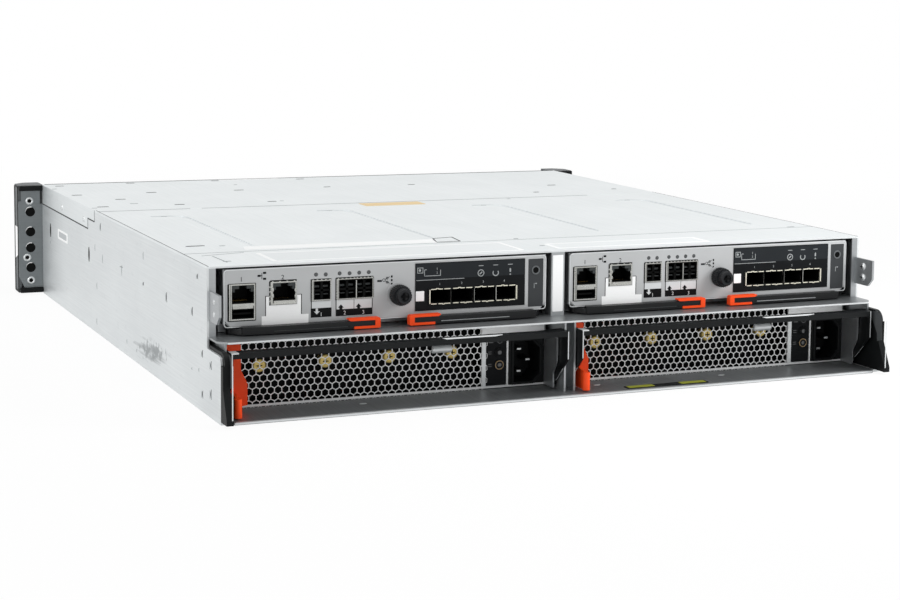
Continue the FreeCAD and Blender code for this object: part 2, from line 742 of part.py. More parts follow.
def psu_guards():
    """Black moulded guards that wrap the stepped rear edge of each side wall."""
    top = STEP_HEIGHT + GUARD_PROUD
    guard = side_plate([
        (-GUARD_TOE, FLOOR_T + SEAT_GAP),
        (-GUARD_TOE, GUARD_TOE_RISE + FLOOR_T),
        (-GUARD_REACH, GUARD_FLARE_RISE),
        (-GUARD_REACH, top, STEP_RADIUS + GUARD_PROUD),
        (GUARD_LENGTH, top),
        (GUARD_LENGTH, FLOOR_T + SEAT_GAP),
    ], -INNER, -INNER + GUARD_T)
    relief = box(-HALF, -INNER + GUARD_T / 2, 2, GUARD_LENGTH + 1, FLOOR_T, STEP_HEIGHT)
    guard = guard.cut(relief)
    wrap = side_plate([
        (-GUARD_TOE, FLOOR_T + SEAT_GAP),
        (-GUARD_TOE, GUARD_TOE_RISE + FLOOR_T),
        (-GUARD_REACH, GUARD_FLARE_RISE),
        (-GUARD_REACH, STEP_HEIGHT - STEP_RADIUS),
        (-STEP_REACH - SEAT_GAP, STEP_HEIGHT - STEP_RADIUS),
        (-STEP_REACH - SEAT_GAP, FLOOR_T + SEAT_GAP),
    ], -HALF, -INNER)
    left = fuse([guard, wrap])
    return [left, mirrored(left)]


def rear_brackets():
    """Steel brackets inside the upper walls, with the tab that carries the cable guide screws."""
    wall_x = -INNER
    plate = side_plate([
        (0, SHELF_TOP),
        (0, TAB_BOTTOM),
        (-TAB_REACH + TAB_CHAMFER, TAB_BOTTOM),
        (-TAB_REACH, TAB_BOTTOM + TAB_CHAMFER),
        (-TAB_REACH, TAB_TOP),
        (0, TAB_TOP),
        (0, COVER_UNDER),
        (BRACKET_LENGTH, COVER_UNDER),
        (BRACKET_LENGTH, SHELF_TOP),
    ], wall_x, wall_x + BRACKET_T)
    flange = box(wall_x, wall_x + BRACKET_FLANGE, 0, BRACKET_T, SHELF_TOP, COVER_UNDER)
    left = fuse([plate, flange])
    return [left, mirrored(left)]


def side_disc(radius, x, thickness, y, z):
    """A low many-sided screw head seated on a side face."""
    low = min(x, x + thickness)
    return side_plate(ring_points(radius, SCREW_SIDES, y, z), low, low + abs(thickness))


def small_screws():
    """Heads on the rear tabs, the front cover's flanges and the floor of the power supply bays."""
    heads = []
    tab_face = INNER
    for side in SIDES:
        for rise in BRACKET_SCREW_RISE:
            heads.append(side_disc(BRACKET_SCREW_R, side * tab_face, side * DOME_HEIGHT,
                                   BRACKET_SCREW_Y, rise))
            heads.append(side_disc(BRACKET_SCREW_R, side * (tab_face - BRACKET_T), -side * DOME_HEIGHT,
                                   BRACKET_SCREW_Y, rise))
        rise = BODY_HEIGHT - COVER_FLANGE_LOW + SIDE_SCREW_RISE
        for setback in SIDE_SCREW_SETBACK:
            heads.append(side_disc(SIDE_SCREW_R, side * HALF, side * SIDE_SCREW_HEIGHT,
                                   REAR_COVER_END + setback, rise))
    return heads


# Controller canisters

def port_shell(x, width, z0, z1, cavities, back=PORT_DEPTH):
    """A metal connector shell behind the face, with its sockets open to the rear."""
    shell = box(x + PORT_FIT, x + width - PORT_FIT, -PORT_PROUD, back, z0 + PORT_FIT, z1 - PORT_FIT)
    tools = [box(c[0], c[1], -PORT_PROUD - 1, PORT_CAVITY, c[2], c[3]) for c in cavities]
    return shell.cut(tools)


def jack_cavity(x, width, z0, z1):
    """Socket of a modular jack: a square mouth with the latch notch above it."""
    left = x + PORT_FRAME
    right = x + width - PORT_FRAME
    middle = x + width / 2
    top = z1 - PORT_FRAME - JACK_LATCH_DROP
    return [
        (left, right, z0, top),
        (middle - JACK_LATCH_WIDTH / 2, middle + JACK_LATCH_WIDTH / 2, z0 + 1, z1 - PORT_FRAME),
    ]


def io_ports(x0):
    """Stacked jack and bus socket, second jack, and the single and double disk-bus sockets."""
    usb_top = STACK_BOTTOM + PORT_FRAME + USB_HEIGHT
    stack = jack_cavity(x0 + STACK_X, STACK_WIDTH, usb_top + USB_SHELF, STACK_TOP)
    stack.append((x0 + STACK_X + PORT_FRAME, x0 + STACK_X + STACK_WIDTH - PORT_FRAME,
                  STACK_BOTTOM + PORT_FRAME, usb_top))
    jack = jack_cavity(x0 + JACK_X, JACK_WIDTH, JACK_BOTTOM + PORT_FRAME, JACK_TOP)
    single_x = x0 + SAS_SINGLE_X
    double_x = x0 + SAS_DOUBLE_X
    sas_z = (SAS_BOTTOM + PORT_FRAME, SAS_TOP - PORT_FRAME)
    half = SAS_DOUBLE_WIDTH / 2
    sas_one = [(single_x + PORT_FRAME, single_x + SAS_SINGLE_WIDTH - PORT_FRAME, *sas_z)]
    sas_two = [
        (double_x + PORT_FRAME, double_x + half - PORT_FRAME / 2, *sas_z),
        (double_x + half + PORT_FRAME / 2, double_x + SAS_DOUBLE_WIDTH - PORT_FRAME, *sas_z),
    ]
    shells = [
        port_shell(x0 + STACK_X, STACK_WIDTH, STACK_BOTTOM, STACK_TOP, stack),
        port_shell(x0 + JACK_X, JACK_WIDTH, JACK_BOTTOM, JACK_TOP, jack),
        port_shell(single_x, SAS_SINGLE_WIDTH, SAS_BOTTOM, SAS_TOP, sas_one),
        port_shell(double_x, SAS_DOUBLE_WIDTH, SAS_BOTTOM, SAS_TOP, sas_two),
    ]
    return [fuse([shells[0]]),
            fuse([shells[1], riser(x0 + JACK_X, JACK_WIDTH, JACK_BOTTOM)]),
            fuse([shells[2], riser(single_x, SAS_SINGLE_WIDTH, SAS_BOTTOM)]),
            fuse([shells[3], riser(double_x, SAS_DOUBLE_WIDTH, SAS_BOTTOM)])]


def riser(x, width, z1):
    """Foot that stands a raised connector on the board."""
    return box(x + 1, x + width - 1, FACE_T + 1, PORT_DEPTH, BOARD_TOP, z1 + 1)


def faceplate(x0):
    """Folded steel face of a canister, with bevelled rim, cut corners and connector windows."""
    x1 = x0 + CANISTER_WIDTH
    plate = face_plate([
        (x0 + FACE_CHAMFER, FACE_BOTTOM),
        (x1 - FACE_CHAMFER, FACE_BOTTOM),
        (x1, FACE_BOTTOM + FACE_CHAMFER),
        (x1, CANISTER_TOP - FACE_TOP_CHAMFER),
        (x1 - FACE_TOP_CHAMFER, CANISTER_TOP),
        (x0 + FACE_TOP_CHAMFER, CANISTER_TOP),
        (x0, CANISTER_TOP - FACE_TOP_CHAMFER),
        (x0, FACE_BOTTOM + FACE_CHAMFER),
    ], 0, FACE_T)
    rim = [edge for edge in plate.Edges if all(abs(v.Point.y) < 1e-6 for v in edge.Vertexes)]
    plate = plate.makeChamfer(FACE_BEVEL, rim)
    windows = [
        (STACK_X, STACK_WIDTH, STACK_BOTTOM, STACK_TOP),
        (JACK_X, JACK_WIDTH, JACK_BOTTOM, JACK_TOP),
        (SAS_SINGLE_X, SAS_SINGLE_WIDTH, SAS_BOTTOM, SAS_TOP),
        (SAS_DOUBLE_X, SAS_DOUBLE_WIDTH, SAS_BOTTOM, SAS_TOP),
        (HOST_X, HOST_WIDTH, HOST_BOTTOM, HOST_TOP),
    ]
    tools = [box(x0 + x, x0 + x + w, -1, FACE_T + 1, z0, z1) for x, w, z0, z1 in windows]
    tools.append(rod(KNOB_SHAFT_R + KNOB_SHAFT_FIT, FACE_T + 2, (x0 + KNOB_X, -1, KNOB_RISE), (0, 1, 0)))
    service_ring = ring_points(SERVICE_R, SCREW_SIDES, x0 + SERVICE_X, SERVICE_RISE)
    tools.append(face_plate(service_ring, -1, FACE_T + 1))
    return plate.cut(tools)


def canister_case(x0):
    """Sheet-metal case of a canister, open at the face, with the recess that the levers lie in."""
    x1 = x0 + CANISTER_WIDTH
    t = CANISTER_SHEET
    recess_y = FACE_T + LEVER_RECESS_DEPTH
    recess_z = FACE_BOTTOM + LEVER_RECESS_RISE
    outer = fuse([
        box(x0, x1, FACE_T, CANISTER_LENGTH, recess_z, CANISTER_TOP),
        box(x0, x1, recess_y, CANISTER_LENGTH, CANISTER_BOTTOM, recess_z),
    ])
    inner = fuse([
        box(x0 + t, x1 - t, FACE_T - 1, CANISTER_LENGTH - t, recess_z + t, CANISTER_TOP - t),
        box(x0 + t, x1 - t, recess_y + t, CANISTER_LENGTH - t, CANISTER_BOTTOM + t, recess_z + t),
    ])
    shell = outer.cut(inner)
    pins = []
    for x in (x0 + LEVER_PIVOT_INSET, x1 - LEVER_PIVOT_INSET):
        pins.append(rod(PIN_R, recess_z - LEVER_BOTTOM + 0.5, (x, LEVER_PIVOT_Y, LEVER_BOTTOM), (0, 0, 1)))
    stack_cut = box(x0 + STACK_X - SEAT_GAP, x0 + STACK_X + STACK_WIDTH + SEAT_GAP, FACE_T - 1,
                    PORT_DEPTH + SEAT_GAP, STACK_BOTTOM - SEAT_GAP, recess_z + t + 1)
    return fuse([shell.cut(stack_cut)] + pins)


def canister_board(x0):
    """Controller board with its processor cooler, memory, battery pack and midplane plug."""
    x1 = x0 + CANISTER_WIDTH
    bottom = BOARD_TOP - BOARD_T
    start = PORT_DEPTH + 2
    board = box(x0 + BOARD_EDGE, x1 - BOARD_EDGE, start, CANISTER_LENGTH - 4, bottom, BOARD_TOP)
    shelf = box(x0 + BOARD_EDGE + STACK_X + STACK_WIDTH, x1 - BOARD_EDGE, FACE_T + LEVER_RECESS_DEPTH + 2,
                start, bottom, BOARD_TOP)
    pieces = [board, shelf]
    wide, deep, high = COOLER_SIZE
    left = x0 + COOLER_X
    pieces.append(box(left, left + wide, COOLER_Y, COOLER_Y + deep, BOARD_TOP, BOARD_TOP + COOLER_BASE))
    fin_pitch = (wide - FIN_T) / (FIN_COUNT - 1)
    for i in range(FIN_COUNT):
        x = left + i * fin_pitch
        pieces.append(box(x, x + FIN_T, COOLER_Y, COOLER_Y + deep, BOARD_TOP + COOLER_BASE, BOARD_TOP + high))
    thick, long, tall = MEMORY_SIZE
    for i in range(MEMORY_COUNT):
        x = x0 + MEMORY_X + i * MEMORY_PITCH
        pieces.append(box(x, x + thick, MEMORY_Y, MEMORY_Y + long, BOARD_TOP, BOARD_TOP + tall))
    wide, deep, high = BATTERY_SIZE
    left = x1 - BATTERY_INSET - wide
    pieces.append(box(left, left + wide, BATTERY_Y, BATTERY_Y + deep, BOARD_TOP, BOARD_TOP + high))
    return [fuse(pieces)]


def host_panel(x0):
    """Black plastic panel that frames the host interface cage."""
    a = x0 + HOST_X + PORT_FIT
    b = x0 + HOST_X + HOST_WIDTH - PORT_FIT
    panel = box(a, b, -HOST_PROUD, FACE_T, HOST_BOTTOM + PORT_FIT, HOST_TOP - PORT_FIT)
    window = box(x0 + CAGE4_X - PORT_FIT, x0 + CAGE4_X + CAGE4_WIDTH + PORT_FIT, -HOST_PROUD - 1, FACE_T + 1,
                 CAGE4_BOTTOM - PORT_FIT, CAGE4_TOP + PORT_FIT)
    return panel.cut(window)


def host_cage(x0):
    """Four-port metal cage for pluggable transceivers."""
    a = x0 + CAGE4_X
    cage = box(a, a + CAGE4_WIDTH, -CAGE4_PROUD, CAGE4_LENGTH, CAGE4_BOTTOM, CAGE4_TOP)
    foot = box(a + 2, a + CAGE4_WIDTH - 2, PORT_DEPTH + 4, CAGE4_LENGTH, BOARD_TOP, CAGE4_BOTTOM + 0.4)
    pitch = (CAGE4_WIDTH - CAGE4_WALL) / CAGE4_PORTS
    bays = [box(a + CAGE4_WALL + i * pitch, a + (i + 1) * pitch, -CAGE4_PROUD - 1, CAGE4_CAVITY,
                CAGE4_BOTTOM + CAGE4_WALL, CAGE4_TOP - CAGE4_WALL) for i in range(CAGE4_PORTS)]
    return fuse([cage.cut(bays), foot])


def thumbscrew(x0):
    """Captive screw with a fluted knob, a narrower nose with a screwdriver recess, and its shaft."""
    x = x0 + KNOB_X
    z = KNOB_RISE
    rim = []
    for i, point in enumerate(ring_points(1.0, 2 * KNOB_FLUTES, 0.0, 0.0)):
        radius = KNOB_R if i % 2 else KNOB_R - KNOB_FLUTE_DEPTH
        rim.append((x + radius * point[0], z + radius * point[1]))
    knob = face_plate(rim, -KNOB_GAP - KNOB_BASE, -KNOB_GAP)
    nose_end = -KNOB_GAP - KNOB_BASE - KNOB_NOSE
    nose = face_plate(ring_points(KNOB_NOSE_R, SCREW_SIDES, x, z), nose_end, -KNOB_GAP)
    half = KNOB_SLOT_WIDTH / 2
    slot = box(x - half, x + half, nose_end - 1, nose_end + KNOB_SLOT_DEPTH,
               z - KNOB_SLOT_REACH, z + KNOB_SLOT_REACH)
    shaft = rod(KNOB_SHAFT_R, KNOB_SHAFT_LENGTH + 1, (x, -KNOB_GAP - 1, z), (0, 1, 0))
    return fuse([knob, nose.cut(slot), shaft])


def lever(x0, side):
    """Ejector lever along the bottom edge of a canister, drawn for the left end."""
    pivot_x = LEVER_PIVOT_INSET
    face = LEVER_FACE_Y
    back = face + LEVER_DEPTH
    neck = [
        (pivot_x - LEVER_BOSS_R, LEVER_PIVOT_Y - 1),
        (pivot_x + 2, face + 2, 2.5),
        (LEVER_BEND, face),
        (LEVER_BEND, back),
        (pivot_x + LEVER_BOSS_R + 1, back),
        (pivot_x + LEVER_BOSS_R + 1, LEVER_PIVOT_Y - 1),
    ]
    bar = [
        (pivot_x + 2.5, face + 1),
        (LEVER_BEND, face),
        (LEVER_END, face),
        (LEVER_END, back),
        (pivot_x + 3, back),
    ]
    arm = fuse([
        flat_plate(neck, LEVER_BOTTOM, LEVER_BOTTOM + LEVER_NECK_HEIGHT),
        rod(LEVER_BOSS_R, LEVER_NECK_HEIGHT, (pivot_x, LEVER_PIVOT_Y, LEVER_BOTTOM), (0, 0, 1)),
        flat_plate(bar, LEVER_BOTTOM, LEVER_TOP),
    ])
    channel = box(LEVER_BEND + 4, LEVER_END - 16, face + LEVER_SHEET, back + 1,
                  LEVER_BOTTOM + LEVER_SHEET, LEVER_TOP - LEVER_SHEET)
    groove = box(LEVER_BEND + 4, LEVER_END - 16, face - 1, face + 0.5, LEVER_BOTTOM + 1.2, LEVER_BOTTOM + 1.8)
    bore = rod(PIN_R + PIN_FIT, LEVER_HEIGHT + 2, (pivot_x, LEVER_PIVOT_Y, LEVER_BOTTOM - 1), (0, 0, 1))
    return placed_lever(arm.cut([channel, groove, bore]), x0, side)


def lever_tip(x0, side):
    """Moulded finger grip: a fork that closes round the end of the lever."""
    face = LEVER_FACE_Y - 0.6
    back = face + TIP_DEPTH
    low = LEVER_BOTTOM - 0.2
    grip = face_plate([
        (TIP_START, low),
        (TIP_END, low, 0.6),
        (TIP_END, TIP_TOP, 1.2),
        (TIP_START - TIP_NOSE, TIP_TOP, 0.5),
        (TIP_START - TIP_NOSE, LEVER_TOP + 1),
        (TIP_START - TIP_NOSE + 1.5, LEVER_TOP + 0.2),
        (LEVER_END, LEVER_TOP + 0.2),
        (LEVER_END, LEVER_BOTTOM + TIP_WALL),
        (TIP_START, LEVER_BOTTOM + TIP_WALL),
    ], face, back)
    grip = grip.cut(box(TIP_START - 6, LEVER_END, LEVER_FACE_Y, LEVER_FACE_Y + LEVER_DEPTH,
                        LEVER_BOTTOM, LEVER_TOP))
    return placed_lever(grip, x0, side)


def placed_lever(shape, x0, side):
    """Moves a lever piece to the left end of a canister, or mirrors it to the right end."""
    if side > 0:
        shape = mirrored(shape)
        shape.translate(Vector(x0 + CANISTER_WIDTH, 0, 0))
    else:
        shape.translate(Vector(x0, 0, 0))
    return shape


# Power supplies

def psu_face(x0):
    """Steel face with its honeycomb grille, rolled clip and the windows for lamps and inlet."""
    x1 = x0 + PSU_WIDTH
    y0 = PSU_FACE_Y
    y1 = PSU_FACE_Y + GRILLE_T
    plate = box(x0 + PSU_SHEET, x1 - PSU_SHEET, y0, y1, PSU_BOTTOM + PSU_SHEET, PSU_TOP - PSU_SHEET)
    left = x0 + GRILLE_MARGIN
    right = left + GRILLE_WIDTH
    bottom = PSU_BOTTOM + GRILLE_BOTTOM
    top = PSU_TOP - GRILLE_TOP_MARGIN
    radius = (GRILLE_PITCH - GRILLE_WEB) / math.sqrt(3)
    row_pitch = GRILLE_PITCH * math.sqrt(3) / 2
    rows = int((top - bottom - 2 * radius) / row_pitch) + 1
    start_z = (bottom + top - (rows - 1) * row_pitch) / 2
    holes = []
    for r in range(rows):
        z = start_z + r * row_pitch
        shift = GRILLE_PITCH / 2 if r % 2 else 0.0
        columns = int((right - left - 2 * radius - shift) / GRILLE_PITCH) + 1
        for c in range(columns):
            x = left + radius + shift + c * GRILLE_PITCH
            holes.append(face_plate(ring_points(radius, 6, x, z), y0 - 1, y1 + 1))
    holes.append(box(x0 + LAMP_PANEL_X, x0 + LAMP_PANEL_X + LAMP_PANEL_WIDTH, y0 - 1, y1 + 1,
                     LAMP_PANEL_BOTTOM, LAMP_PANEL_TOP))
    holes.append(box(x0 + INLET_X, x1, y0 - 1, y1 + 1, PSU_BOTTOM, INLET_TOP))
    clip_x = x0 + GRILLE_CLIP_X
    clip = rod(GRILLE_CLIP_R, GRILLE_CLIP_LENGTH, (clip_x, y0, GRILLE_CLIP_RISE), (1, 0, 0))
    clip = clip.common(box(clip_x - 1, clip_x + GRILLE_CLIP_LENGTH + 1, y0 - GRILLE_CLIP_R, y0,
                           GRILLE_CLIP_RISE - GRILLE_CLIP_R, GRILLE_CLIP_RISE + GRILLE_CLIP_R))
    seat = box(clip_x - 1, clip_x + GRILLE_CLIP_LENGTH + 1, y0, y1,
               GRILLE_CLIP_RISE - GRILLE_CLIP_R - 0.5, GRILLE_CLIP_RISE + GRILLE_CLIP_R + 0.5)
    return fuse([plate.cut(holes), clip, seat])


def psu_inside(x0):
    """Power board on its posts, with heat sinks, coils, capacitors and the plug for the midplane."""
    x1 = x0 + PSU_WIDTH
    start = PSU_FACE_Y + GRILLE_T + INLET_DEPTH + 4
    end = PSU_FACE_Y + PSU_LENGTH - 1
    floor = PSU_BOTTOM + PSU_SHEET
    low = floor + PSU_BOARD_RISE
    top = low + PSU_BOARD_T
    pieces = [box(x0 + PSU_BOARD_EDGE, x1 - PSU_BOARD_EDGE, start, end, low, top)]
    for x in (x0 + PSU_POST_INSET, x1 - PSU_POST_INSET):
        for y in (start + PSU_POST_INSET, end - PSU_POST_INSET):
            pieces.append(box(x - PSU_POST_R, x + PSU_POST_R, y - PSU_POST_R, y + PSU_POST_R,
                              floor - PSU_SINK, low + PSU_SINK))
    thick, long, tall = HEAT_SINK
    for x in HEAT_SINK_X:
        pieces.append(box(x0 + x, x0 + x + thick, start + HEAT_SINK_Y, start + HEAT_SINK_Y + long,
                          top - PSU_SINK, top + tall))
    wide, deep, high = COIL_SIZE
    for x in COIL_X:
        left = x0 + x
        pieces.append(box(left, left + wide, start + COIL_Y, start + COIL_Y + deep,
                          top - PSU_SINK, top + high))
        can = ring_points(CAPACITOR_R, 8, left + wide / 2, start + CAPACITOR_Y)
        pieces.append(flat_plate(can, top - PSU_SINK, top + CAPACITOR_HEIGHT))
    wide, deep, high = PSU_PLUG
    middle = (x0 + x1) / 2
    pieces.append(box(middle - wide / 2, middle + wide / 2, end - deep, end, top - PSU_SINK, top + high))
    return pieces


def psu_case(x0):
    """Steel case of a power supply, open at the plug end, with the bulkhead behind its grille."""
    x1 = x0 + PSU_WIDTH
    t = PSU_SHEET
    y0 = PSU_FACE_Y + GRILLE_T
    split = x0 + LAMP_PANEL_X - t
    case = box(x0, x1, PSU_FACE_Y, PSU_FACE_Y + PSU_LENGTH, PSU_BOTTOM, PSU_TOP)
    seat = box(x0 + t, x1 - t, PSU_FACE_Y - 1, y0, PSU_BOTTOM + t, PSU_TOP - t)
    plenum = box(x0 + t, split, y0 - 1, y0 + BULKHEAD_DEPTH, PSU_BOTTOM + t, PSU_TOP - t)
    socket = box(split + t, x1 - t, y0 - 1, y0 + INLET_DEPTH, PSU_BOTTOM + t, PSU_TOP - t)
    inside = box(x0 + t, x1 - t, y0 + INLET_DEPTH + t, PSU_FACE_Y + PSU_LENGTH + 1,
                 PSU_BOTTOM + t, PSU_TOP - t)
    body = fuse([case.cut([seat, plenum, socket, inside])] + psu_inside(x0))
    return [body, handle_ear(x0, 0, -1), handle_ear(x0, PSU_WIDTH - t, 1)]


def handle_ear(x0, inset, outward):
    """Ear on the rear edge of the case's side, with a rounded corner and the pin that the handle turns on."""
    t = PSU_SHEET
    ear = side_plate([
        (PSU_FACE_Y, PSU_BOTTOM),
        (HANDLE_PIVOT_Y - HANDLE_BOSS_R, PSU_BOTTOM, 1),
        (HANDLE_PIVOT_Y - HANDLE_BOSS_R, HANDLE_PIVOT_RISE + HANDLE_BOSS_R, 3),
        (-HANDLE_EAR_REACH, HANDLE_EAR_BEND, 8),
        (-HANDLE_EAR_REACH, HANDLE_EAR_TOP, 1),
        (PSU_FACE_Y, HANDLE_EAR_TOP),
    ], x0 + inset, x0 + inset + t)
    start = x0 + inset + (t if outward < 0 else 0)
    pin = rod(HANDLE_PIN_R, HANDLE_T + PSU_ARM_GAP + t,
              (start, HANDLE_PIVOT_Y, HANDLE_PIVOT_RISE), (outward, 0, 0))
    return fuse([ear, pin])


def psu_screws(x0):
    """Brass standoff screws on the bulkhead, seen through the grille."""
    end = PSU_FACE_Y + GRILLE_T + BULKHEAD_DEPTH
    return [face_plate(ring_points(BRASS_R, 6, x0 + BRASS_FIRST_X + i * BRASS_PITCH, BRASS_RISE),
                       end - BRASS_LENGTH, end) for i in range(BRASS_COUNT)]


def lamp_panel(x0):
    """Black lamp panel with its two round light pipes."""
    a = x0 + LAMP_PANEL_X + PORT_FIT
    b = x0 + LAMP_PANEL_X + LAMP_PANEL_WIDTH - PORT_FIT
    panel = box(a, b, PSU_FACE_Y + 0.3, PSU_FACE_Y + 5,
                LAMP_PANEL_BOTTOM + PORT_FIT, LAMP_PANEL_TOP - PORT_FIT)
    lamps = [face_plate(ring_points(LAMP_R, SCREW_SIDES, x0 + LAMP_PANEL_X + LAMP_X, z),
                        PSU_FACE_Y - LAMP_PROUD, PSU_FACE_Y + 0.4) for z in LAMP_RISE]
    return [fuse([panel] + lamps)]


def power_inlet(x0):
    """Mains inlet block with its eight-sided socket and three blades."""
    a = x0 + INLET_X + PORT_FIT
    b = x0 + INLET_X + INLET_WIDTH - PORT_FIT
    y0 = PSU_FACE_Y - 0.4
    block = box(a, b, y0, PSU_FACE_Y + INLET_DEPTH, INLET_BOTTOM + PORT_FIT, INLET_TOP - PORT_FIT)
    width, height, depth = INLET_CAVITY
    left = x0 + INLET_X + INLET_CAVITY_X
    z = INLET_CENTRE_RISE
    cavity = face_plate([
        (left, z - height / 2),
        (left + width - INLET_CORNER, z - height / 2),
        (left + width, z - height / 2 + INLET_CORNER),
        (left + width, z + height / 2 - INLET_CORNER),
        (left + width - INLET_CORNER, z + height / 2),
        (left, z + height / 2),
    ], y0 - 1, y0 + depth)
    long, thin = INLET_PIN[1], INLET_PIN[0]
    pin_x = left + width / 2 - INLET_PIN_OFFSET
    blades = []
    for dx, dz in ((0, INLET_PIN_SPREAD), (0, -INLET_PIN_SPREAD), (2 * INLET_PIN_OFFSET, 0)):
        blades.append(box(pin_x + dx - long / 2, pin_x + dx + long / 2, y0 + depth - INLET_PIN_LENGTH,
                          y0 + depth + 1, z + dz - thin / 2, z + dz + thin / 2))
    return fuse([block.cut(cavity)] + blades)


def handle_arm(x):
    """Side arm of the bail: a strip that follows the rear edge and bends in to the pivot."""
    reach = -HANDLE_REACH
    strip = HANDLE_STRIP
    top = HANDLE_TOP
    arm = side_plate([
        (reach, top - 2),
        (reach, HANDLE_SHOULDER),
        (HANDLE_PIVOT_Y - HANDLE_BOSS_R, HANDLE_PIVOT_RISE - 1),
        (HANDLE_PIVOT_Y + HANDLE_BOSS_R - 0.4, HANDLE_PIVOT_RISE + 1),
        (HANDLE_PIVOT_Y - 0.5, HANDLE_PIVOT_RISE + 8),
        (reach + strip, HANDLE_SHOULDER + 1),
        (reach + strip, top),
        (reach + 2, top),
    ], x, x + HANDLE_T)
    boss_ring = ring_points(HANDLE_BOSS_R, SCREW_SIDES, HANDLE_PIVOT_Y, HANDLE_PIVOT_RISE)
    boss = side_plate(boss_ring, x, x + HANDLE_T)
    bore = rod(HANDLE_PIN_R + PIN_FIT, HANDLE_T + 2, (x - 1, HANDLE_PIVOT_Y, HANDLE_PIVOT_RISE), (1, 0, 0))
    return fuse([arm, boss]).cut(bore)


def psu_handle(x0):
    """Bail handle folded from one sheet: bar with its top flange, arms, gusset and finger lip."""
    left = x0 - PSU_ARM_GAP - HANDLE_T
    right = x0 + PSU_WIDTH + PSU_ARM_GAP
    web = box(left, right + HANDLE_T, -HANDLE_REACH, -HANDLE_REACH + HANDLE_T,
              HANDLE_TOP - HANDLE_BAR_HEIGHT, HANDLE_TOP)
    flange = box(left, right + HANDLE_T, -HANDLE_REACH, -HANDLE_REACH + HANDLE_BAR_DEPTH,
                 HANDLE_TOP - HANDLE_T, HANDLE_TOP)
    gusset = flat_plate([
        (right + HANDLE_T, -HANDLE_REACH + HANDLE_STRIP),
        (right + HANDLE_T, -HANDLE_REACH),
        (right + HANDLE_T - HANDLE_GUSSET, -HANDLE_REACH),
        (right + HANDLE_T - HANDLE_GUSSET, -HANDLE_REACH + HANDLE_BAR_DEPTH),
        (right + HANDLE_T - 4, -HANDLE_REACH + HANDLE_STRIP, 3),
    ], HANDLE_TOP - HANDLE_T, HANDLE_TOP)
    lip = box(x0 + HANDLE_LIP_X, x0 + HANDLE_LIP_X + HANDLE_LIP_LENGTH, -HANDLE_REACH,
              -HANDLE_REACH + HANDLE_T, HANDLE_TOP - HANDLE_T, HANDLE_TOP + HANDLE_LIP_RISE)
    return fuse([web, flange, gusset, lip, handle_arm(left), handle_arm(right)])


def psu_latch(x0):
    """Release latch: a fin in front of the grille, a stem behind the bar and a finger pad."""
    a = x0 + LATCH_FIN_X
    y1 = LATCH_Y + LATCH_T
    fin = face_plate([
        (a, LATCH_PAD_BOTTOM + 1),
        (a + LATCH_FIN_WIDTH, LATCH_FIN_BOTTOM, 0.8),
        (a + LATCH_FIN_WIDTH, LATCH_FIN_SHOULDER, 2),
        (a + LATCH_STEM_WIDTH, LATCH_FIN_TOP, 2),
        (a + LATCH_STEM_WIDTH, LATCH_STEM_TOP, 1),
        (a, LATCH_STEM_TOP, 1),
    ], LATCH_Y, y1)
    web = side_plate([
        (y1, LATCH_PAD_BOTTOM),
        (-LATCH_PAD_REACH, LATCH_PAD_BOTTOM),
        (-LATCH_PAD_REACH, LATCH_PAD_TOP),
        (y1, LATCH_PAD_TOP + 3),
    ], a, a + LATCH_WEB_T)
    pad = rod(LATCH_PAD_R, LATCH_PAD_TOP - LATCH_PAD_BOTTOM, (a + LATCH_WEB_T / 2, -LATCH_PAD_REACH,
                                                              LATCH_PAD_BOTTOM), (0, 0, 1))
    return fuse([fin, web, pad])


# Drive carriers

def drive_carrier(column_index, row_index):
    """Carrier with its vented bezel, latch lever and side rails, and the drive it holds."""
    column = (BODY_WIDTH - 2 * WALL) / CAGE_COLUMNS
    row = (COVER_UNDER - FLOOR_T) / CAGE_ROWS
    x0 = -INNER + column * column_index + CAGE_SHEET + CARRIER_SIDE_GAP
    x1 = -INNER + column * (column_index + 1) - CAGE_SHEET - CARRIER_SIDE_GAP
    z0 = FLOOR_T + row * row_index + (CAGE_RAIL_T if row_index else 0.0) + CARRIER_LIFT
    z1 = FLOOR_T + row * (row_index + 1) - CARRIER_HEADROOM
    middle = (x0 + x1) / 2
    rise = (z0 + z1) / 2
    back = CAGE_START + CARRIER_BACK_GAP
    front = EAR_PLANE + CARRIER_BEZEL_BACK
    nose = front + CARRIER_BEZEL_T
    bezel = box(x0, x1, front, nose, z0, z1)
    vents = []
    for side in SIDES:
        for i in range(VENT_COUNT):
            vx = middle + (i - (VENT_COUNT - 1) / 2) * VENT_PITCH
            vz = rise + side * (VENT_RISE + LATCH_HEIGHT / 2)
            vents.append(box(vx - VENT_SIZE[0] / 2, vx + VENT_SIZE[0] / 2, front - 1, nose + 1,
                             vz - VENT_SIZE[1] / 2, vz + VENT_SIZE[1] / 2))
    latch = face_plate([
        (x0 + LATCH_INSET, rise - LATCH_HEIGHT / 2 + 1),
        (x0 + LATCH_INSET + LATCH_LENGTH, rise - LATCH_HEIGHT / 2 + 2.5),
        (x0 + LATCH_INSET + LATCH_LENGTH, rise + LATCH_HEIGHT / 2 - 2.5),
        (x0 + LATCH_INSET, rise + LATCH_HEIGHT / 2 - 1),
    ], nose - 1, nose + LATCH_PROUD)
    rails = [box(x0, x0 + CARRIER_RAIL_T, back, front, z0, z1 - 1),
             box(x1 - CARRIER_RAIL_T, x1, back, front, z0, z1 - 1)]
    tray = box(x0, x1, back, front, z0, z0 + 1)
    width, length, height = DRIVE_SIZE
    drive = box(middle - width / 2, middle + width / 2, back + DRIVE_BACK_GAP, back + DRIVE_BACK_GAP + length,
                z0 + 1, z0 + 1 + height)
    frame = fuse([bezel.cut(vents), latch, tray] + rails)
    return [frame, drive]


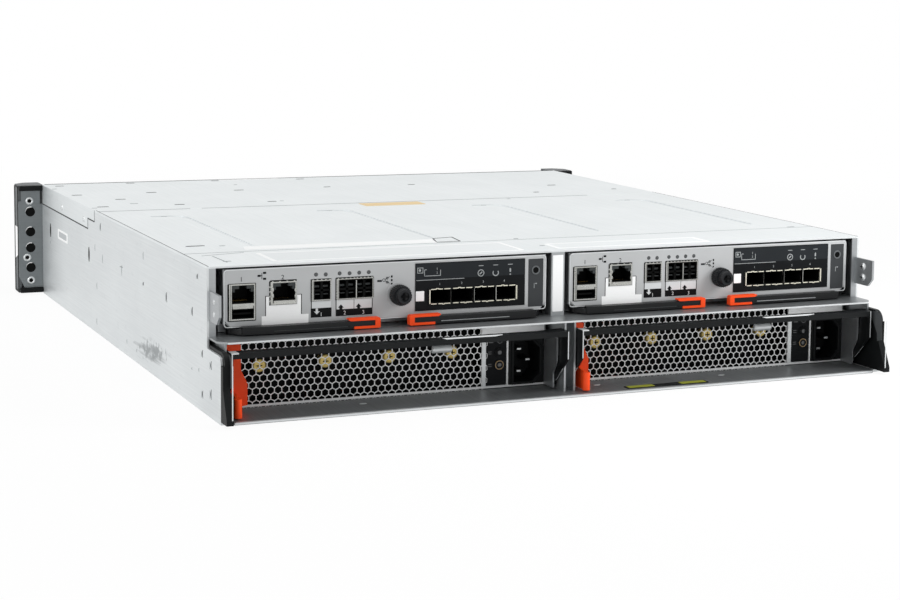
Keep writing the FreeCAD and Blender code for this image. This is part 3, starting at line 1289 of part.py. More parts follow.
def build():
    """Writes every node of the enclosure."""
    os.makedirs("parts", exist_ok=True)
    save("base_tray", [base_tray()])
    save("front_cover", [front_cover()])
    save("rear_cover", [rear_cover()])
    save("mid_shelf", [mid_shelf()])
    save("centre_divider", centre_divider())
    save("midplane", midplane())
    save("drive_cage", drive_cage())
    save("rack_ears", rack_ears())
    save("end_caps", end_caps())
    save("psu_guards", psu_guards())
    save("rear_brackets", rear_brackets())
    save("chassis_screws", ear_screws() + small_screws())
    canister_starts = {"left": -PILLAR_WIDTH / 2 - CANISTER_PILLAR_GAP - CANISTER_WIDTH,
                       "right": PILLAR_WIDTH / 2 + CANISTER_PILLAR_GAP}
    for name, x0 in canister_starts.items():
        unit = name + "_canister_"
        save(unit + "case", [canister_case(x0)])
        save(unit + "face", [faceplate(x0)])
        save(unit + "board", canister_board(x0))
        save(unit + "ports", io_ports(x0))
        save(unit + "host_panel", [host_panel(x0)])
        save(unit + "host_cage", [host_cage(x0)])
        save(unit + "thumbscrew", [thumbscrew(x0)])
        for side, end in ((-1, "left"), (1, "right")):
            save(unit + end + "_lever", [lever(x0, side)])
            save(unit + end + "_lever_tip", [lever_tip(x0, side)])
    for name, x0 in {"left": PSU_LEFT, "right": PSU_LEFT + PSU_PITCH}.items():
        unit = name + "_psu_"
        save(unit + "case", psu_case(x0))
        save(unit + "face", [psu_face(x0)])
        save(unit + "screws", psu_screws(x0))
        save(unit + "lamp_panel", lamp_panel(x0))
        save(unit + "inlet", [power_inlet(x0)])
        save(unit + "handle", [psu_handle(x0)])
        save(unit + "latch", [psu_latch(x0)])
    for c in range(CAGE_COLUMNS):
        for r in range(CAGE_ROWS):
            save("drive_carrier_" + str(c + 1) + "_" + str(r + 1), drive_carrier(c, r))


build()
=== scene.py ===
"""Looks of a two-unit storage controller enclosure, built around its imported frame.

Sizes are in millimetres. X runs to the right seen from the rear, Y from the connector side to the drive
side, with y = 0 at the rear edge of the upper side walls, and Z runs up. The frame's own origin lies ORIGIN_Y
further in.
"""

import logging
import math
from dataclasses import dataclass, replace
from enum import Enum

import bpy
import numpy as np
from mathutils import Matrix, Vector


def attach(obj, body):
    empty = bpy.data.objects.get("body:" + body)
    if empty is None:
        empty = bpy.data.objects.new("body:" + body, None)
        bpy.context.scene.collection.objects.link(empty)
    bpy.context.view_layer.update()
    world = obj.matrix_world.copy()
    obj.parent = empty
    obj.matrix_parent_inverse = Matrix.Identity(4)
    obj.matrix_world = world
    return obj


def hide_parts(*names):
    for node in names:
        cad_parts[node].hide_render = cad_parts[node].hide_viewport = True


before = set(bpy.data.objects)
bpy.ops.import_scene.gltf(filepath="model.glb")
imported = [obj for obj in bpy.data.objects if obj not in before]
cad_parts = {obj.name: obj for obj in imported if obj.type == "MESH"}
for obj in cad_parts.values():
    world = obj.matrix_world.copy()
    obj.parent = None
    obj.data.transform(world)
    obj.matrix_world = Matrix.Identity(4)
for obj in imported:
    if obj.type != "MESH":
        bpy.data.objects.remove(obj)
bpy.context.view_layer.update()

LOG = logging.getLogger("enclosure")
ORIGIN_Y = 237.0
MM = 0.001
NUMERAL_SHARE = 0.7  # height of a numeral as a share of its text size
ARROW_REACH = 1.8  # half the width of a printed arrow's head
SMOOTH_ANGLE = math.radians(38)
WHITE = (1.0, 1.0, 1.0, 1.0)

Outline = np.ndarray
Solid = tuple[np.ndarray, list[list[int]]]
Tree = bpy.types.NodeTree
Node = bpy.types.Node
Socket = bpy.types.NodeSocket


# Shapes

def counterclockwise(uv: Outline) -> Outline:
    """The outline in counter-clockwise order: half the sum of cross products is its signed area.

    Args:
        uv: The outline either way round.

    Returns:
        The same outline, turned round where its area is negative.
    """
    after = np.roll(uv, -1, axis=0)
    area = (uv[:, 0] * after[:, 1] - after[:, 0] * uv[:, 1]).sum()
    return uv if area > 0 else uv[::-1]


def polygon(*corners: tuple[float, float]) -> Outline:
    """An outline from its corners."""
    return counterclockwise(np.array(corners, dtype=float))


def rectangle(u0: float, u1: float, v0: float, v1: float, corner: float = 0.0, steps: int = 4) -> Outline:
    """A rectangle, whose corners may be quarter circles.

    Each corner's points are its centre plus the radius times (cos a, sin a), a going through a quarter turn.

    Args:
        u0: Lowest u.
        u1: Highest u.
        v0: Lowest v.
        v1: Highest v.
        corner: Radius of the corners.
        steps: Points along one corner.

    Returns:
        The outline, counter-clockwise.
    """
    if corner <= 0:
        return polygon((u0, v0), (u1, v0), (u1, v1), (u0, v1))
    u0, u1, v0, v1 = u0 + corner, u1 - corner, v0 + corner, v1 - corner
    centres = np.repeat([(u1, v1), (u0, v1), (u0, v0), (u1, v0)], steps, axis=0)
    turn = (np.linspace(0.0, math.pi / 2, steps) + np.arange(4)[:, None] * math.pi / 2).ravel()
    return centres + corner * np.stack([np.cos(turn), np.sin(turn)], axis=1)


def circle(u: float, v: float, radius: float, count: int = 20) -> Outline:
    """A regular outline round (u, v): the radius times (cos a, sin a) through a full turn."""
    turn = np.linspace(0.0, 2 * math.pi, count, endpoint=False)
    return np.stack([u + radius * np.cos(turn), v + radius * np.sin(turn)], axis=1)


def arc(u: float, v: float, bow: float, tall: float, width: float) -> Outline:
    """A thin crescent: its middle bows sideways as one minus the square of the height's share.

    Args:
        u: Middle across.
        v: Middle height.
        bow: How far the middle stands aside.
        tall: Height.
        width: Width, which falls to a third at the tips.

    Returns:
        The outline.
    """
    t = np.linspace(-1.0, 1.0, 7)
    centre = u + bow * (1.0 - t ** 2)
    reach = width / 2 * (1.0 - 0.66 * t ** 2)
    right = np.stack([centre + reach, v + t * tall / 2], axis=1)
    left = np.stack([centre - reach, v + t * tall / 2], axis=1)
    return np.concatenate([right, left[::-1]])


def inset(uv: Outline, depth: float) -> Outline:
    """Moves an outline's edges inwards by depth.

    A corner moves along the sum of its two edges' inward normals, divided by one plus their dot product.

    Args:
        uv: The outline, counter-clockwise.
        depth: How far, or outwards where negative.

    Returns:
        The moved outline.
    """
    along = np.roll(uv, -1, axis=0) - uv
    along = along / np.maximum(np.linalg.norm(along, axis=1, keepdims=True), 1e-9)
    inward = np.stack([-along[:, 1], along[:, 0]], axis=1)
    before = np.roll(inward, 1, axis=0)
    spread = 1.0 + (inward * before).sum(axis=1, keepdims=True)
    return uv + depth * (inward + before) / np.maximum(spread, 0.2)


def loft(rings: np.ndarray, wrap: bool = False) -> Solid:
    """Closed surface over a grid of rings, whose neighbours are joined by quads.

    Args:
        rings: Points, (rings, around, 3).
        wrap: Whether the last ring is joined to the first; if not, the end rings are faces.

    Returns:
        The closed solid.
    """
    count, around = rings.shape[:2]
    i = np.arange(around)
    j = (i + 1) % around
    row = np.arange(count if wrap else count - 1)[:, None]
    after = (row + 1) % count * around
    row = row * around
    quads = np.stack([row + i, row + j, after + j, after + i], axis=-1).reshape(-1, 4).tolist()
    ends = [] if wrap else [i[::-1].tolist(), ((count - 1) * around + i).tolist()]
    return rings.reshape(-1, 3), quads + ends


def ribbon(path: list[tuple[float, float]], x0: float, x1: float, thick: float) -> Solid:
    """A strip that follows the edge of an upright plate: a path in y and z, its left-hand offset, and two x.

    Args:
        path: Points (y, z) along the edge.
        x0: Lowest x.
        x1: Highest x.
        thick: How far the strip stands off the path.

    Returns:
        The closed solid.
    """
    near = np.array(path, dtype=float)
    along = np.gradient(near, axis=0)
    along = along / np.linalg.norm(along, axis=1, keepdims=True)
    far = near + thick * np.stack([-along[:, 1], along[:, 0]], axis=1)
    return loft(np.array([[(x0, *a), (x1, *a), (x1, *b), (x0, *b)] for a, b in zip(near, far)]))


class Side(Enum):
    """A side of the enclosure: which way its outward normal points, and along which axis."""

    REAR = (-1, 1)
    FRONT = (1, 1)
    LEFT = (-1, 0)
    RIGHT = (1, 0)
    TOP = (1, 2)


@dataclass(frozen=True)
class Face:
    """A flat face that shapes stand on.

    u is x, or y on the left and right, and v is z, or y on the top. The face holds its coordinate along its
    normal and the place that u is measured from.
    """

    side: Side
    at: float
    start: float = 0.0

    def lift(self, out: float) -> "Face":
        """The same face further out."""
        return replace(self, at=self.at + self.side.value[0] * out)

    def place(self, uv: Outline, out: float | np.ndarray) -> np.ndarray:
        """Puts flat points in space: the face's coordinate, moved outwards, goes between or beside u and v.

        Args:
            uv: Points on the face, (n, 2).
            out: Distance in front of the face.

        Returns:
            Points in space, (n, 3).
        """
        sign, axis = self.side.value
        normal = self.at + sign * out + np.zeros(len(uv))
        return np.insert(uv + np.array([self.start, 0.0]), axis, normal, axis=1)

    def plate(self, uv: Outline, thick: float, bevel: float = 0.0, sink: float = 0.0) -> Solid:
        """A plate: the outline at its foot and below its rim, and the outline inset by the bevel on top.

        Args:
            uv: The outline.
            thick: How far the plate stands out.
            bevel: Width of its bevel.
            sink: How far it goes behind the face.

        Returns:
            The closed solid.
        """
        uv = counterclockwise(uv)
        rings = [self.place(uv, -sink)] + ([self.place(uv, thick - bevel)] if bevel > 0 else [])
        return loft(np.array(rings + [self.place(inset(uv, bevel), thick)]))

    def bar(self, u0: float, u1: float, v0: float, v1: float, thick: float = 0.05,
            sink: float = 0.0) -> Solid:
        """A plain block, from sink behind the face to thick in front."""
        return self.plate(rectangle(u0, u1, v0, v1), thick, 0.0, sink)

    def disc(self, u: float, v: float, radius: float, count: int, thick: float) -> Solid:
        """A flat disc."""
        return self.plate(circle(u, v, radius, count), thick)

    def rim(self, outer: Outline, inner: Outline, thick: float, bevel: float = 0.0,
            sink: float = 0.0) -> Solid:
        """A plate with a hole: foot, rim and top of the outer outline, then top and foot of the inner one.

        Args:
            outer: Outer outline.
            inner: The hole, with as many points.
            thick: How far the plate stands out.
            bevel: Width of the bevel on both edges.
            sink: How far it goes behind the face.

        Returns:
            The closed solid.
        """
        outer, inner = counterclockwise(outer), counterclockwise(inner)
        rings = [(outer, -sink), (outer, thick - bevel), (inset(outer, bevel), thick),
                 (inset(inner, -bevel), thick), (inner, thick - bevel), (inner, -sink)]
        return loft(np.array([self.place(uv, out) for uv, out in rings]), True)

    def ring(self, u: float, v: float, outer: float, inner: float, count: int, thick: float,
             bevel: float = 0.0, sink: float = 0.0) -> Solid:
        """A round plate with a round hole."""
        return self.rim(circle(u, v, outer, count), circle(u, v, inner, count), thick, bevel, sink)

    def tub(self, u0: float, u1: float, v0: float, v1: float, depth: float, wall: float = 0.5,
            lip: float = 0.0) -> list[Solid]:
        """A thin liner: four walls as a rim that goes in by depth, and a plate across its inner end."""
        inner = rectangle(u0 + wall, u1 - wall, v0 + wall, v1 - wall)
        return [self.rim(rectangle(u0, u1, v0, v1), inner, lip, 0.0, depth),
                self.lift(-depth).plate(inset(inner, -0.02), 0.6)]

    def line(self, u0: float, v0: float, u1: float, v1: float, width: float, thick: float = 0.05) -> Solid:
        """A straight strip: both ends are widened by half the width at right angles to the run.

        Args:
            u0: Start across.
            v0: Start upwards.
            u1: End across.
            v1: End upwards.
            width: Width of the strip.
            thick: How far it stands out.

        Returns:
            The closed solid.
        """
        a, b = np.array([u0, v0]), np.array([u1, v1])
        along = (b - a) / np.linalg.norm(b - a)
        across = np.array([-along[1], along[0]]) * width / 2
        return self.plate(np.array([a - across, b - across, b + across, a + across]), thick)

    def cross(self, u: float, v: float, reach: float, width: float, thick: float = 0.06) -> Solid:
        """The cross of a screwdriver recess, as a flat twelve-sided outline that is dressed dark as painted
        shade of the hollow.

        Args:
            u: Middle across.
            v: Middle height.
            reach: Length of an arm from the middle.
            width: Width of an arm.
            thick: How far the cross stands out.

        Returns:
            The closed solid.
        """
        w, r = width / 2, reach
        corners = [(-w, -r), (w, -r), (w, -w), (r, -w), (r, w), (w, w), (w, r), (-w, r), (-w, w), (-r, w),
                   (-r, -w), (-w, -w)]
        return self.plate(np.array(corners) + [u, v], thick)

    def arrow(self, u: float, foot: float, neck: float, tip: float, shaft: float, thick: float) -> Solid:
        """A broad arrow along v: foot, neck and tip are heights, and shaft is half the shaft's width."""
        return self.plate(polygon((u - shaft, foot), (u + shaft, foot), (u + shaft, neck),
                                  (u + ARROW_REACH, neck), (u, tip), (u - ARROW_REACH, neck),
                                  (u - shaft, neck)), thick)

    def lathe(self, profile: list[tuple[float, float]], centre: tuple[float, float], count: int = 24,
              flutes: int = 0, depth: float = 0.0) -> Solid:
        """A turned shape: each (radius, out) of the profile is a circle, and flutes cut its radius.

        The radius at an angle a is r times (1 - depth (1 + cos(flutes a)) / 2).

        Args:
            profile: Radius and distance in front of the face, from foot to top.
            centre: Middle of the turned shape on the face.
            count: Points round each circle.
            flutes: Number of flutes.
            depth: Depth of a flute as a share of the radius.

        Returns:
            The closed solid.
        """
        turn = np.linspace(0.0, 2 * math.pi, count, endpoint=False)
        spokes = np.stack([np.cos(turn), np.sin(turn)], axis=1)
        wave = 1.0 - depth * (1.0 + np.cos(flutes * turn[:, None])) / 2 if flutes else 1.0
        foot = profile[0][1]
        middle = np.array(centre)
        return loft(np.array([self.place(middle + radius * (wave if out > foot else 1.0) * spokes, out)
                              for radius, out in profile]))

    def head(self, u: float, v: float, radius: float, height: float) -> Solid:
        """A domed head: the radius falls as the square root of one minus the height squared."""
        rise = np.array([0.0, 0.35, 0.7, 0.92, 1.0])
        return self.lathe(list(zip(radius * np.sqrt(1.0 - (rise * 0.93) ** 2), height * rise)), (u, v), 20)

    def thicken(self, uv: np.ndarray, quads: np.ndarray, thick: float, sink: float = 0.0) -> Solid:
        """A plate from a flat mesh: its faces in front, the same faces turned round behind, and walls.

        A wall stands on each edge that only one face uses.

        Args:
            uv: Points of the flat mesh; points in the same place are made one.
            quads: Faces as rows of four point numbers, counter-clockwise.
            thick: How far the front stands out.
            sink: How far the back lies behind the face.

        Returns:
            The closed solid.
        """
        points, number = np.unique(np.round(uv, 4), axis=0, return_inverse=True)
        quads = number.reshape(-1)[quads]
        count = len(points)
        edges = np.stack([quads, np.roll(quads, -1, axis=1)], axis=2).reshape(-1, 2)
        _, first, uses = np.unique(np.sort(edges, axis=1), axis=0, return_index=True, return_counts=True)
        rims = edges[first[uses == 1]]
        walls = np.stack([rims[:, 1], rims[:, 0], rims[:, 0] + count, rims[:, 1] + count], axis=1)
        faces = np.concatenate([quads, quads[:, ::-1] + count, walls])
        return np.concatenate([self.place(points, thick), self.place(points, -sink)]), faces.tolist()

    def windowed(self, u_cuts: list[float], v_cuts: list[float], filled: list[str], thick: float,
                 sink: float = 0.0) -> Solid:
        """A plate with rectangular windows: a grid of cells between cut lines, of which the filled ones stay.

        Args:
            u_cuts: Cut lines along u.
            v_cuts: Cut lines along v, from low to high.
            filled: One row of marks for each band of v, from low to high, with # for a filled cell.
            thick: How far the plate stands out.
            sink: How far it goes behind the face.

        Returns:
            The closed solid.
        """
        u, v = np.meshgrid(u_cuts, v_cuts)
        across = len(u_cuts)
        row, column = np.nonzero(np.array([list(marks) for marks in filled]) == "#")
        start = row * across + column
        quads = np.stack([start, start + 1, start + across + 1, start + across], axis=1)
        return self.thicken(np.stack([u.ravel(), v.ravel()], axis=1), quads, thick, sink)

    def honeycomb(self, u0: float, u1: float, first_row: float, rows: int, pitch: float, web: float,
                  thick: float) -> Solid:
        """A sheet of six-sided holes with their points up.

        Hole centres lie a pitch apart along a row, and each row is moved by half a pitch and raised by
        pitch times root three over two. A cell is six quads between the hole, of circumradius
        (pitch - web) / root three, and the lattice hexagon, of circumradius pitch / root three.

        Args:
            u0: Left end.
            u1: Right end.
            first_row: Height of the lowest row of centres.
            rows: Number of rows.
            pitch: Distance between holes in a row.
            web: Width of the metal between two holes.
            thick: Thickness of the sheet, behind the face.

        Returns:
            The closed solid.
        """
        row = np.arange(rows)[:, None]
        column = np.arange(int((u1 - u0) / pitch))[None, :]
        u = u0 + pitch / 2 + column * pitch + (row % 2) * pitch / 2
        v = first_row + row * pitch * math.sqrt(3) / 2 + 0 * column
        centres = np.stack([u.ravel(), v.ravel()], axis=1)[:, None]
        spokes = circle(0.0, 0.0, 1.0 / math.sqrt(3), 6)[:, ::-1] * [1, -1]
        uv = np.concatenate([centres + spokes * pitch, centres + spokes * (pitch - web)], axis=1)
        uv = uv.reshape(-1, 2)
        k = np.arange(6)
        cell = np.stack([k, (k + 1) % 6, (k + 1) % 6 + 6, k + 6], axis=1)
        quads = (cell[None] + 12 * np.arange(len(centres))[:, None, None]).reshape(-1, 4)
        return self.thicken(uv, quads, 0.0, thick)

    def written(self, text: str, height: float, u: float, v: float) -> Solid:
        """Plain numerals printed on the face: a text curve made a mesh, with its front and back put in place.

        Args:
            text: The numerals.
            height: Height of a numeral.
            u: Middle across.
            v: Middle height.

        Returns:
            The closed solid.
        """
        curve = bpy.data.curves.new("numeral", "FONT")
        curve.body = text
        curve.size = height / NUMERAL_SHARE
        curve.resolution_u = 3
        curve.extrude = 0.5
        holder = bpy.data.objects.new("numeral", curve)
        mesh = bpy.data.meshes.new_from_object(holder)
        points = np.empty(len(mesh.vertices) * 3)
        mesh.vertices.foreach_get("co", points)
        points = points.reshape(-1, 3)
        faces = [list(face.vertices) for face in mesh.polygons]
        bpy.data.objects.remove(holder)
        bpy.data.curves.remove(curve)
        bpy.data.meshes.remove(mesh)
        middle = (points.max(0) + points.min(0)) / 2
        uv = points[:, :2] - middle[:2] + np.array([u, v])
        return self.place(uv, np.where(points[:, 2] > middle[2], 0.05, -0.02)), faces


# Finishes

def linear(hexadecimal: str) -> tuple[float, float, float, float]:
    """An sRGB colour written in hexadecimal, as linear values.

    Args:
        hexadecimal: Six digits, with or without a hash.

    Returns:
        Linear red, green, blue and one.
    """
    digits = hexadecimal.lstrip("#")
    channels = [int(digits[i:i + 2], 16) / 255 for i in (0, 2, 4)]
    values = [c / 12.92 if c <= 0.04045 else ((c + 0.055) / 1.055) ** 2.4 for c in channels]
    return values[0], values[1], values[2], 1.0


def node(tree: Tree, kind: str, settings: dict | None = None, inputs: dict | None = None) -> Node:
    """Adds a node with its settings and links.

    Args:
        tree: The material's or world's node tree.
        kind: The node's type name.
        settings: Its properties.
        inputs: Its inputs by name or number: a socket is linked, and anything else is set.

    Returns:
        The new node.
    """
    made = tree.nodes.new(kind)
    for key, value in (settings or {}).items():
        setattr(made, key, value)
    for key, value in (inputs or {}).items():
        if isinstance(value, Socket):
            tree.links.new(value, made.inputs[key])
        else:
            made.inputs[key].default_value = value
    return made


@dataclass(frozen=True)
class Finish:
    """What every finish has: a name, the record's slot, a colour, and how rough, metallic and glossy."""

    name: str
    slot: str
    colour: str
    roughness: float = 0.5
    metallic: float = 0.0
    gloss: float = 0.5

    def material(self) -> bpy.types.Material:
        """The finish's material, made once.

        Returns:
            The material.
        """
        found = bpy.data.materials.get(self.name)
        if found:
            return found
        made = bpy.data.materials.new(self.name)
        made.use_nodes = True
        tree = made.node_tree
        tree.nodes.clear()
        shader = node(tree, "ShaderNodeBsdfPrincipled", inputs={
            "Base Color": linear(self.colour), "Roughness": self.roughness, "Metallic": self.metallic,
            "Specular IOR Level": self.gloss})
        node(tree, "ShaderNodeOutputMaterial", inputs={"Surface": shader.outputs["BSDF"]})
        made.diffuse_color = linear(self.colour)
        self.work(tree, shader)
        return made

    def work(self, tree: Tree, shader: Node) -> None:
        """Adds the finish's own pattern.

        Args:
            tree: The material's tree.
            shader: The shader that the pattern changes.
        """

    def mottle(self, tree: Tree, size: tuple[float, float, float], detail: float = 2.0) -> Socket:
        """Noise on the object's own coordinates, with features of a size in millimetres along x, y and z.

        Args:
            tree: The material's tree.
            size: Length of one feature along each axis.
            detail: Octaves of finer noise.

        Returns:
            The noise's value.
        """
        where = node(tree, "ShaderNodeTexCoord")
        scaled = node(tree, "ShaderNodeMapping", inputs={
            "Vector": where.outputs["Object"], "Scale": tuple(1.0 / (s * MM) for s in size)})
        noise = node(tree, "ShaderNodeTexNoise", inputs={
            "Vector": scaled.outputs["Vector"], "Scale": 1.0, "Detail": detail})
        return noise.outputs["Fac"]

    def tint(self, tree: Tree, shader: Node, value: Socket, start: float, end: float, amount: float,
             colour: str) -> None:
        """Lays a colour over the shader's own, by an amount that rises with a value from start to end.

        Args:
            tree: The material's tree.
            shader: The shader whose colour changes.
            value: The pattern.
            start: Value at which the colour begins.
            end: Value at which it is full.
            amount: Its share when full.
            colour: The colour, as sRGB hex.
        """
        share = node(tree, "ShaderNodeMapRange", inputs={
            "Value": value, "From Min": start, "From Max": end, "To Max": amount})
        socket = shader.inputs["Base Color"]
        under = socket.links[0].from_socket if socket.is_linked else linear(self.colour)
        mixed = node(tree, "ShaderNodeMix", {"data_type": "RGBA"}, {0: share.outputs["Result"], 6: under,
                                                                    7: linear(colour)})
        tree.links.new(mixed.outputs[2], socket)

    def relief(self, tree: Tree, shader: Node, value: Socket, swing: float, depth: float) -> None:
        """Moves the roughness by a swing either way with a value, and raises the surface by it.

        Args:
            tree: The material's tree.
            shader: The shader.
            value: The pattern.
            swing: Change of the roughness either way.
            depth: Height of the relief in millimetres.
        """
        gloss = node(tree, "ShaderNodeMapRange", inputs={
            "Value": value, "From Min": 0.3, "From Max": 0.7, "To Min": self.roughness - swing,
            "To Max": self.roughness + swing})
        tree.links.new(gloss.outputs["Result"], shader.inputs["Roughness"])
        raised = node(tree, "ShaderNodeBump", inputs={"Height": value, "Distance": depth * MM})
        tree.links.new(raised.outputs["Normal"], shader.inputs["Normal"])


@dataclass(frozen=True)
class ZincSheet(Finish):
    """Zinc-plated, cold-rolled steel sheet.

    Rolling leaves fine streaks along the sheet and the plating leaves clouds a few centimetres wide, so the
    eye sees a pale satin metal with soft streaks in its gloss.
    """

    dark: str = "#B9BDBF"
    streak: tuple[float, float, float] = (0.9, 60.0, 0.9)
    clouds: float = 0.35

    def work(self, tree: Tree, shader: Node) -> None:
        """Streaks in colour and gloss, clouds, and small dull spots.

        Args:
            tree: The material's tree.
            shader: The shader that the pattern changes.
        """
        streaks = self.mottle(tree, self.streak, 3.0)
        cloud = self.mottle(tree, (46.0, 70.0, 46.0), 4.0)
        spots = self.mottle(tree, (5.0, 7.0, 5.0), 1.0)
        self.tint(tree, shader, cloud, 0.3, 0.7, self.clouds, self.dark)
        self.tint(tree, shader, streaks, 0.3, 0.7, 0.2, self.dark)
        self.tint(tree, shader, spots, 0.67, 0.74, 0.25, self.dark)
        self.relief(tree, shader, streaks, 0.07, 0.012)


@dataclass(frozen=True)
class WornAndShadedZincSheet(ZincSheet):
    """Zinc-plated sheet that has slid in and out of a rack.

    A rail has left one grey smudge of streaks and dots low on the left side, near the rear. The floor inside
    the two lower bays is darkened with painted shade and a painted dark reflection of the parts above it.
    """

    rub: str = "#8B9092"
    slant: float = -0.1
    painted_floor_shade: str = "#7E8183"
    bay: float = 218.0
    smudge: tuple[float, float, float] = (-223.0, -106.0, 15.0)
    spread: tuple[float, float, float] = (12.0, 56.0, 9.0)

    def work(self, tree: Tree, shader: Node) -> None:
        """The sheet's own pattern, painted shade on the floor, and scratches that fade away from the smudge's
        middle.

        Args:
            tree: The material's tree.
            shader: The shader that the pattern changes.
        """
        super().work(tree, shader)
        where = node(tree, "ShaderNodeTexCoord")
        parts = node(tree, "ShaderNodeSeparateXYZ", inputs={"Vector": where.outputs["Object"]})
        # Painted shade and a painted dark reflection: the low floor inside the bays is tinted darker.
        low = node(tree, "ShaderNodeMath", {"operation": "LESS_THAN"}, {0: parts.outputs["Z"], 1: 1.9 * MM})
        half = node(tree, "ShaderNodeMath", {"operation": "ABSOLUTE"}, {0: parts.outputs["X"]})
        inside = node(tree, "ShaderNodeMath", {"operation": "LESS_THAN"},
                      {0: half.outputs[0], 1: self.bay * MM})
        floor = node(tree, "ShaderNodeMath", {"operation": "MULTIPLY"},
                     {0: low.outputs[0], 1: inside.outputs[0]})
        self.tint(tree, shader, floor.outputs[0], 0.0, 1.0, 1.0, self.painted_floor_shade)
        centred = node(tree, "ShaderNodeMapping", {"vector_type": "TEXTURE"}, {
            "Vector": where.outputs["Object"], "Location": tuple(v * MM for v in self.smudge),
            "Rotation": (self.slant, 0.0, 0.0), "Scale": tuple(v * MM for v in self.spread)})
        ball = node(tree, "ShaderNodeTexGradient", {"gradient_type": "SPHERICAL"}, {
            "Vector": centred.outputs["Vector"]})
        scratch = self.mottle(tree, (3.0, 40.0, 2.6), 3.0)
        dots = self.mottle(tree, (4.0, 5.0, 4.0), 2.0)
        for pattern, start, end, amount in ((scratch, 0.5, 0.7, 0.65), (dots, 0.6, 0.74, 0.9)):
            held = node(tree, "ShaderNodeMath", {"operation": "MULTIPLY_ADD"}, {
                0: ball.outputs["Fac"], 1: 0.42, 2: pattern})
            near = node(tree, "ShaderNodeMath", {"operation": "GREATER_THAN"},
                        {0: ball.outputs["Fac"], 1: 0.02})
            kept = node(tree, "ShaderNodeMath", {"operation": "MULTIPLY"},
                        {0: held.outputs[0], 1: near.outputs[0]})
            self.tint(tree, shader, kept.outputs[0], start + 0.1, end + 0.12, amount, self.rub)


@dataclass(frozen=True)
class Paint(Finish):
    """Baked enamel on steel.

    It dries with a fine orange peel under half a millimetre wide, which softens the edges of reflections. The
    peel is drawn 0.7 mm wide, because the real one is too fine to show.
    """

    peel: float = 0.7
    depth: float = 0.012
    shade: str = "#A9ABAC"

    def work(self, tree: Tree, shader: Node) -> None:
        """Orange peel, and a faint change of tone over a few centimetres.

        Args:
            tree: The material's tree.
            shader: The shader that the pattern changes.
        """
        self.tint(tree, shader, self.mottle(tree, (30.0, 30.0, 30.0)), 0.3, 0.7, 0.4, self.shade)
        self.relief(tree, shader, self.mottle(tree, (self.peel,) * 3, 1.0), 0.05, self.depth)


@dataclass(frozen=True)
class Moulding(Finish):
    """Injection-moulded ABS, nylon or polycarbonate.

    The spark-eroded mould leaves a grain about 0.4 mm wide, so highlights are broad and slightly sandy, and
    handling polishes it in patches.
    """

    grain: float = 0.4
    depth: float = 0.02
    worn: str = "#2C2E2F"

    def work(self, tree: Tree, shader: Node) -> None:
        """Mould grain, and handling marks in colour and gloss.

        Args:
            tree: The material's tree.
            shader: The shader that the pattern changes.
        """
        handled = self.mottle(tree, (9.0, 9.0, 9.0), 3.0)
        self.tint(tree, shader, handled, 0.35, 0.75, 0.35, self.worn)
        self.relief(tree, shader, self.mottle(tree, (self.grain,) * 3, 1.0), 0.06, self.depth)


@dataclass(frozen=True)
class Plated(Finish):
    """Nickel-, zinc- or gold-plated small metal part.

    Stamping or turning draws fine lines across it, and the plating gives a bright mirror with a warm tarnish.
    """

    tarnish: str = "#A9A08E"

    def work(self, tree: Tree, shader: Node) -> None:
        """Drawn lines in the gloss, and tarnish in patches.

        Args:
            tree: The material's tree.
            shader: The shader that the pattern changes.
        """
        self.tint(tree, shader, self.mottle(tree, (6.0, 6.0, 6.0)), 0.3, 0.7, 0.3, self.tarnish)
        self.relief(tree, shader, self.mottle(tree, (0.6, 8.0, 0.5)), 0.1, 0.006)


@dataclass(frozen=True)
class Paper(Finish):
    """Coated paper, vinyl or printing ink.

    Fibres show as a mottle about a millimetre wide, and the surface is matt.
    """

    shade: str = "#C9CBCB"

    def work(self, tree: Tree, shader: Node) -> None:
        """Fibre mottle in colour and height.

        Args:
            tree: The material's tree.
            shader: The shader that the pattern changes.
        """
        fibre = self.mottle(tree, (1.2, 1.2, 0.8), 3.0)
        self.tint(tree, shader, fibre, 0.35, 0.8, 0.25, self.shade)
        self.relief(tree, shader, fibre, 0.04, 0.01)


@dataclass(frozen=True)
class LightPipe(Finish):
    """Clear or tinted polycarbonate light pipe.

    Its end is polished, and a frosted core behind the polish scatters the light.
    """

    core: str = "#6E7273"

    def work(self, tree: Tree, shader: Node) -> None:
        """A frosted core seen through a polished end.

        Args:
            tree: The material's tree.
            shader: The shader that the pattern changes.
        """
        self.tint(tree, shader, self.mottle(tree, (0.8, 0.8, 0.8)), 0.3, 0.7, 0.6, self.core)
        shader.inputs["Coat Weight"].default_value = 0.6
        shader.inputs["Coat Roughness"].default_value = 0.06


@dataclass(frozen=True)
class BoardMask(Finish):
    """Green solder mask over glass-fibre laminate.

    Copper tracks under the mask run at right angles a few millimetres apart and show as a lighter green.
    """

    def work(self, tree: Tree, shader: Node) -> None:
        """Tracks as the joints of a brick pattern with bricks 12 mm long, under a glossy mask.

        Args:
            tree: The material's tree.
            shader: The shader that the pattern changes.
        """
        where = node(tree, "ShaderNodeTexCoord")
        tracks = node(tree, "ShaderNodeTexBrick", inputs={
            "Vector": where.outputs["Object"], "Scale": 1.0 / (24 * MM), "Color1": linear(self.colour),
            "Color2": linear("#1B4A2C"), "Mortar": linear("#3F7D4E"), "Mortar Size": 0.03})
        tree.links.new(tracks.outputs["Color"], shader.inputs["Base Color"])
        shader.inputs["Coat Weight"].default_value = 0.4


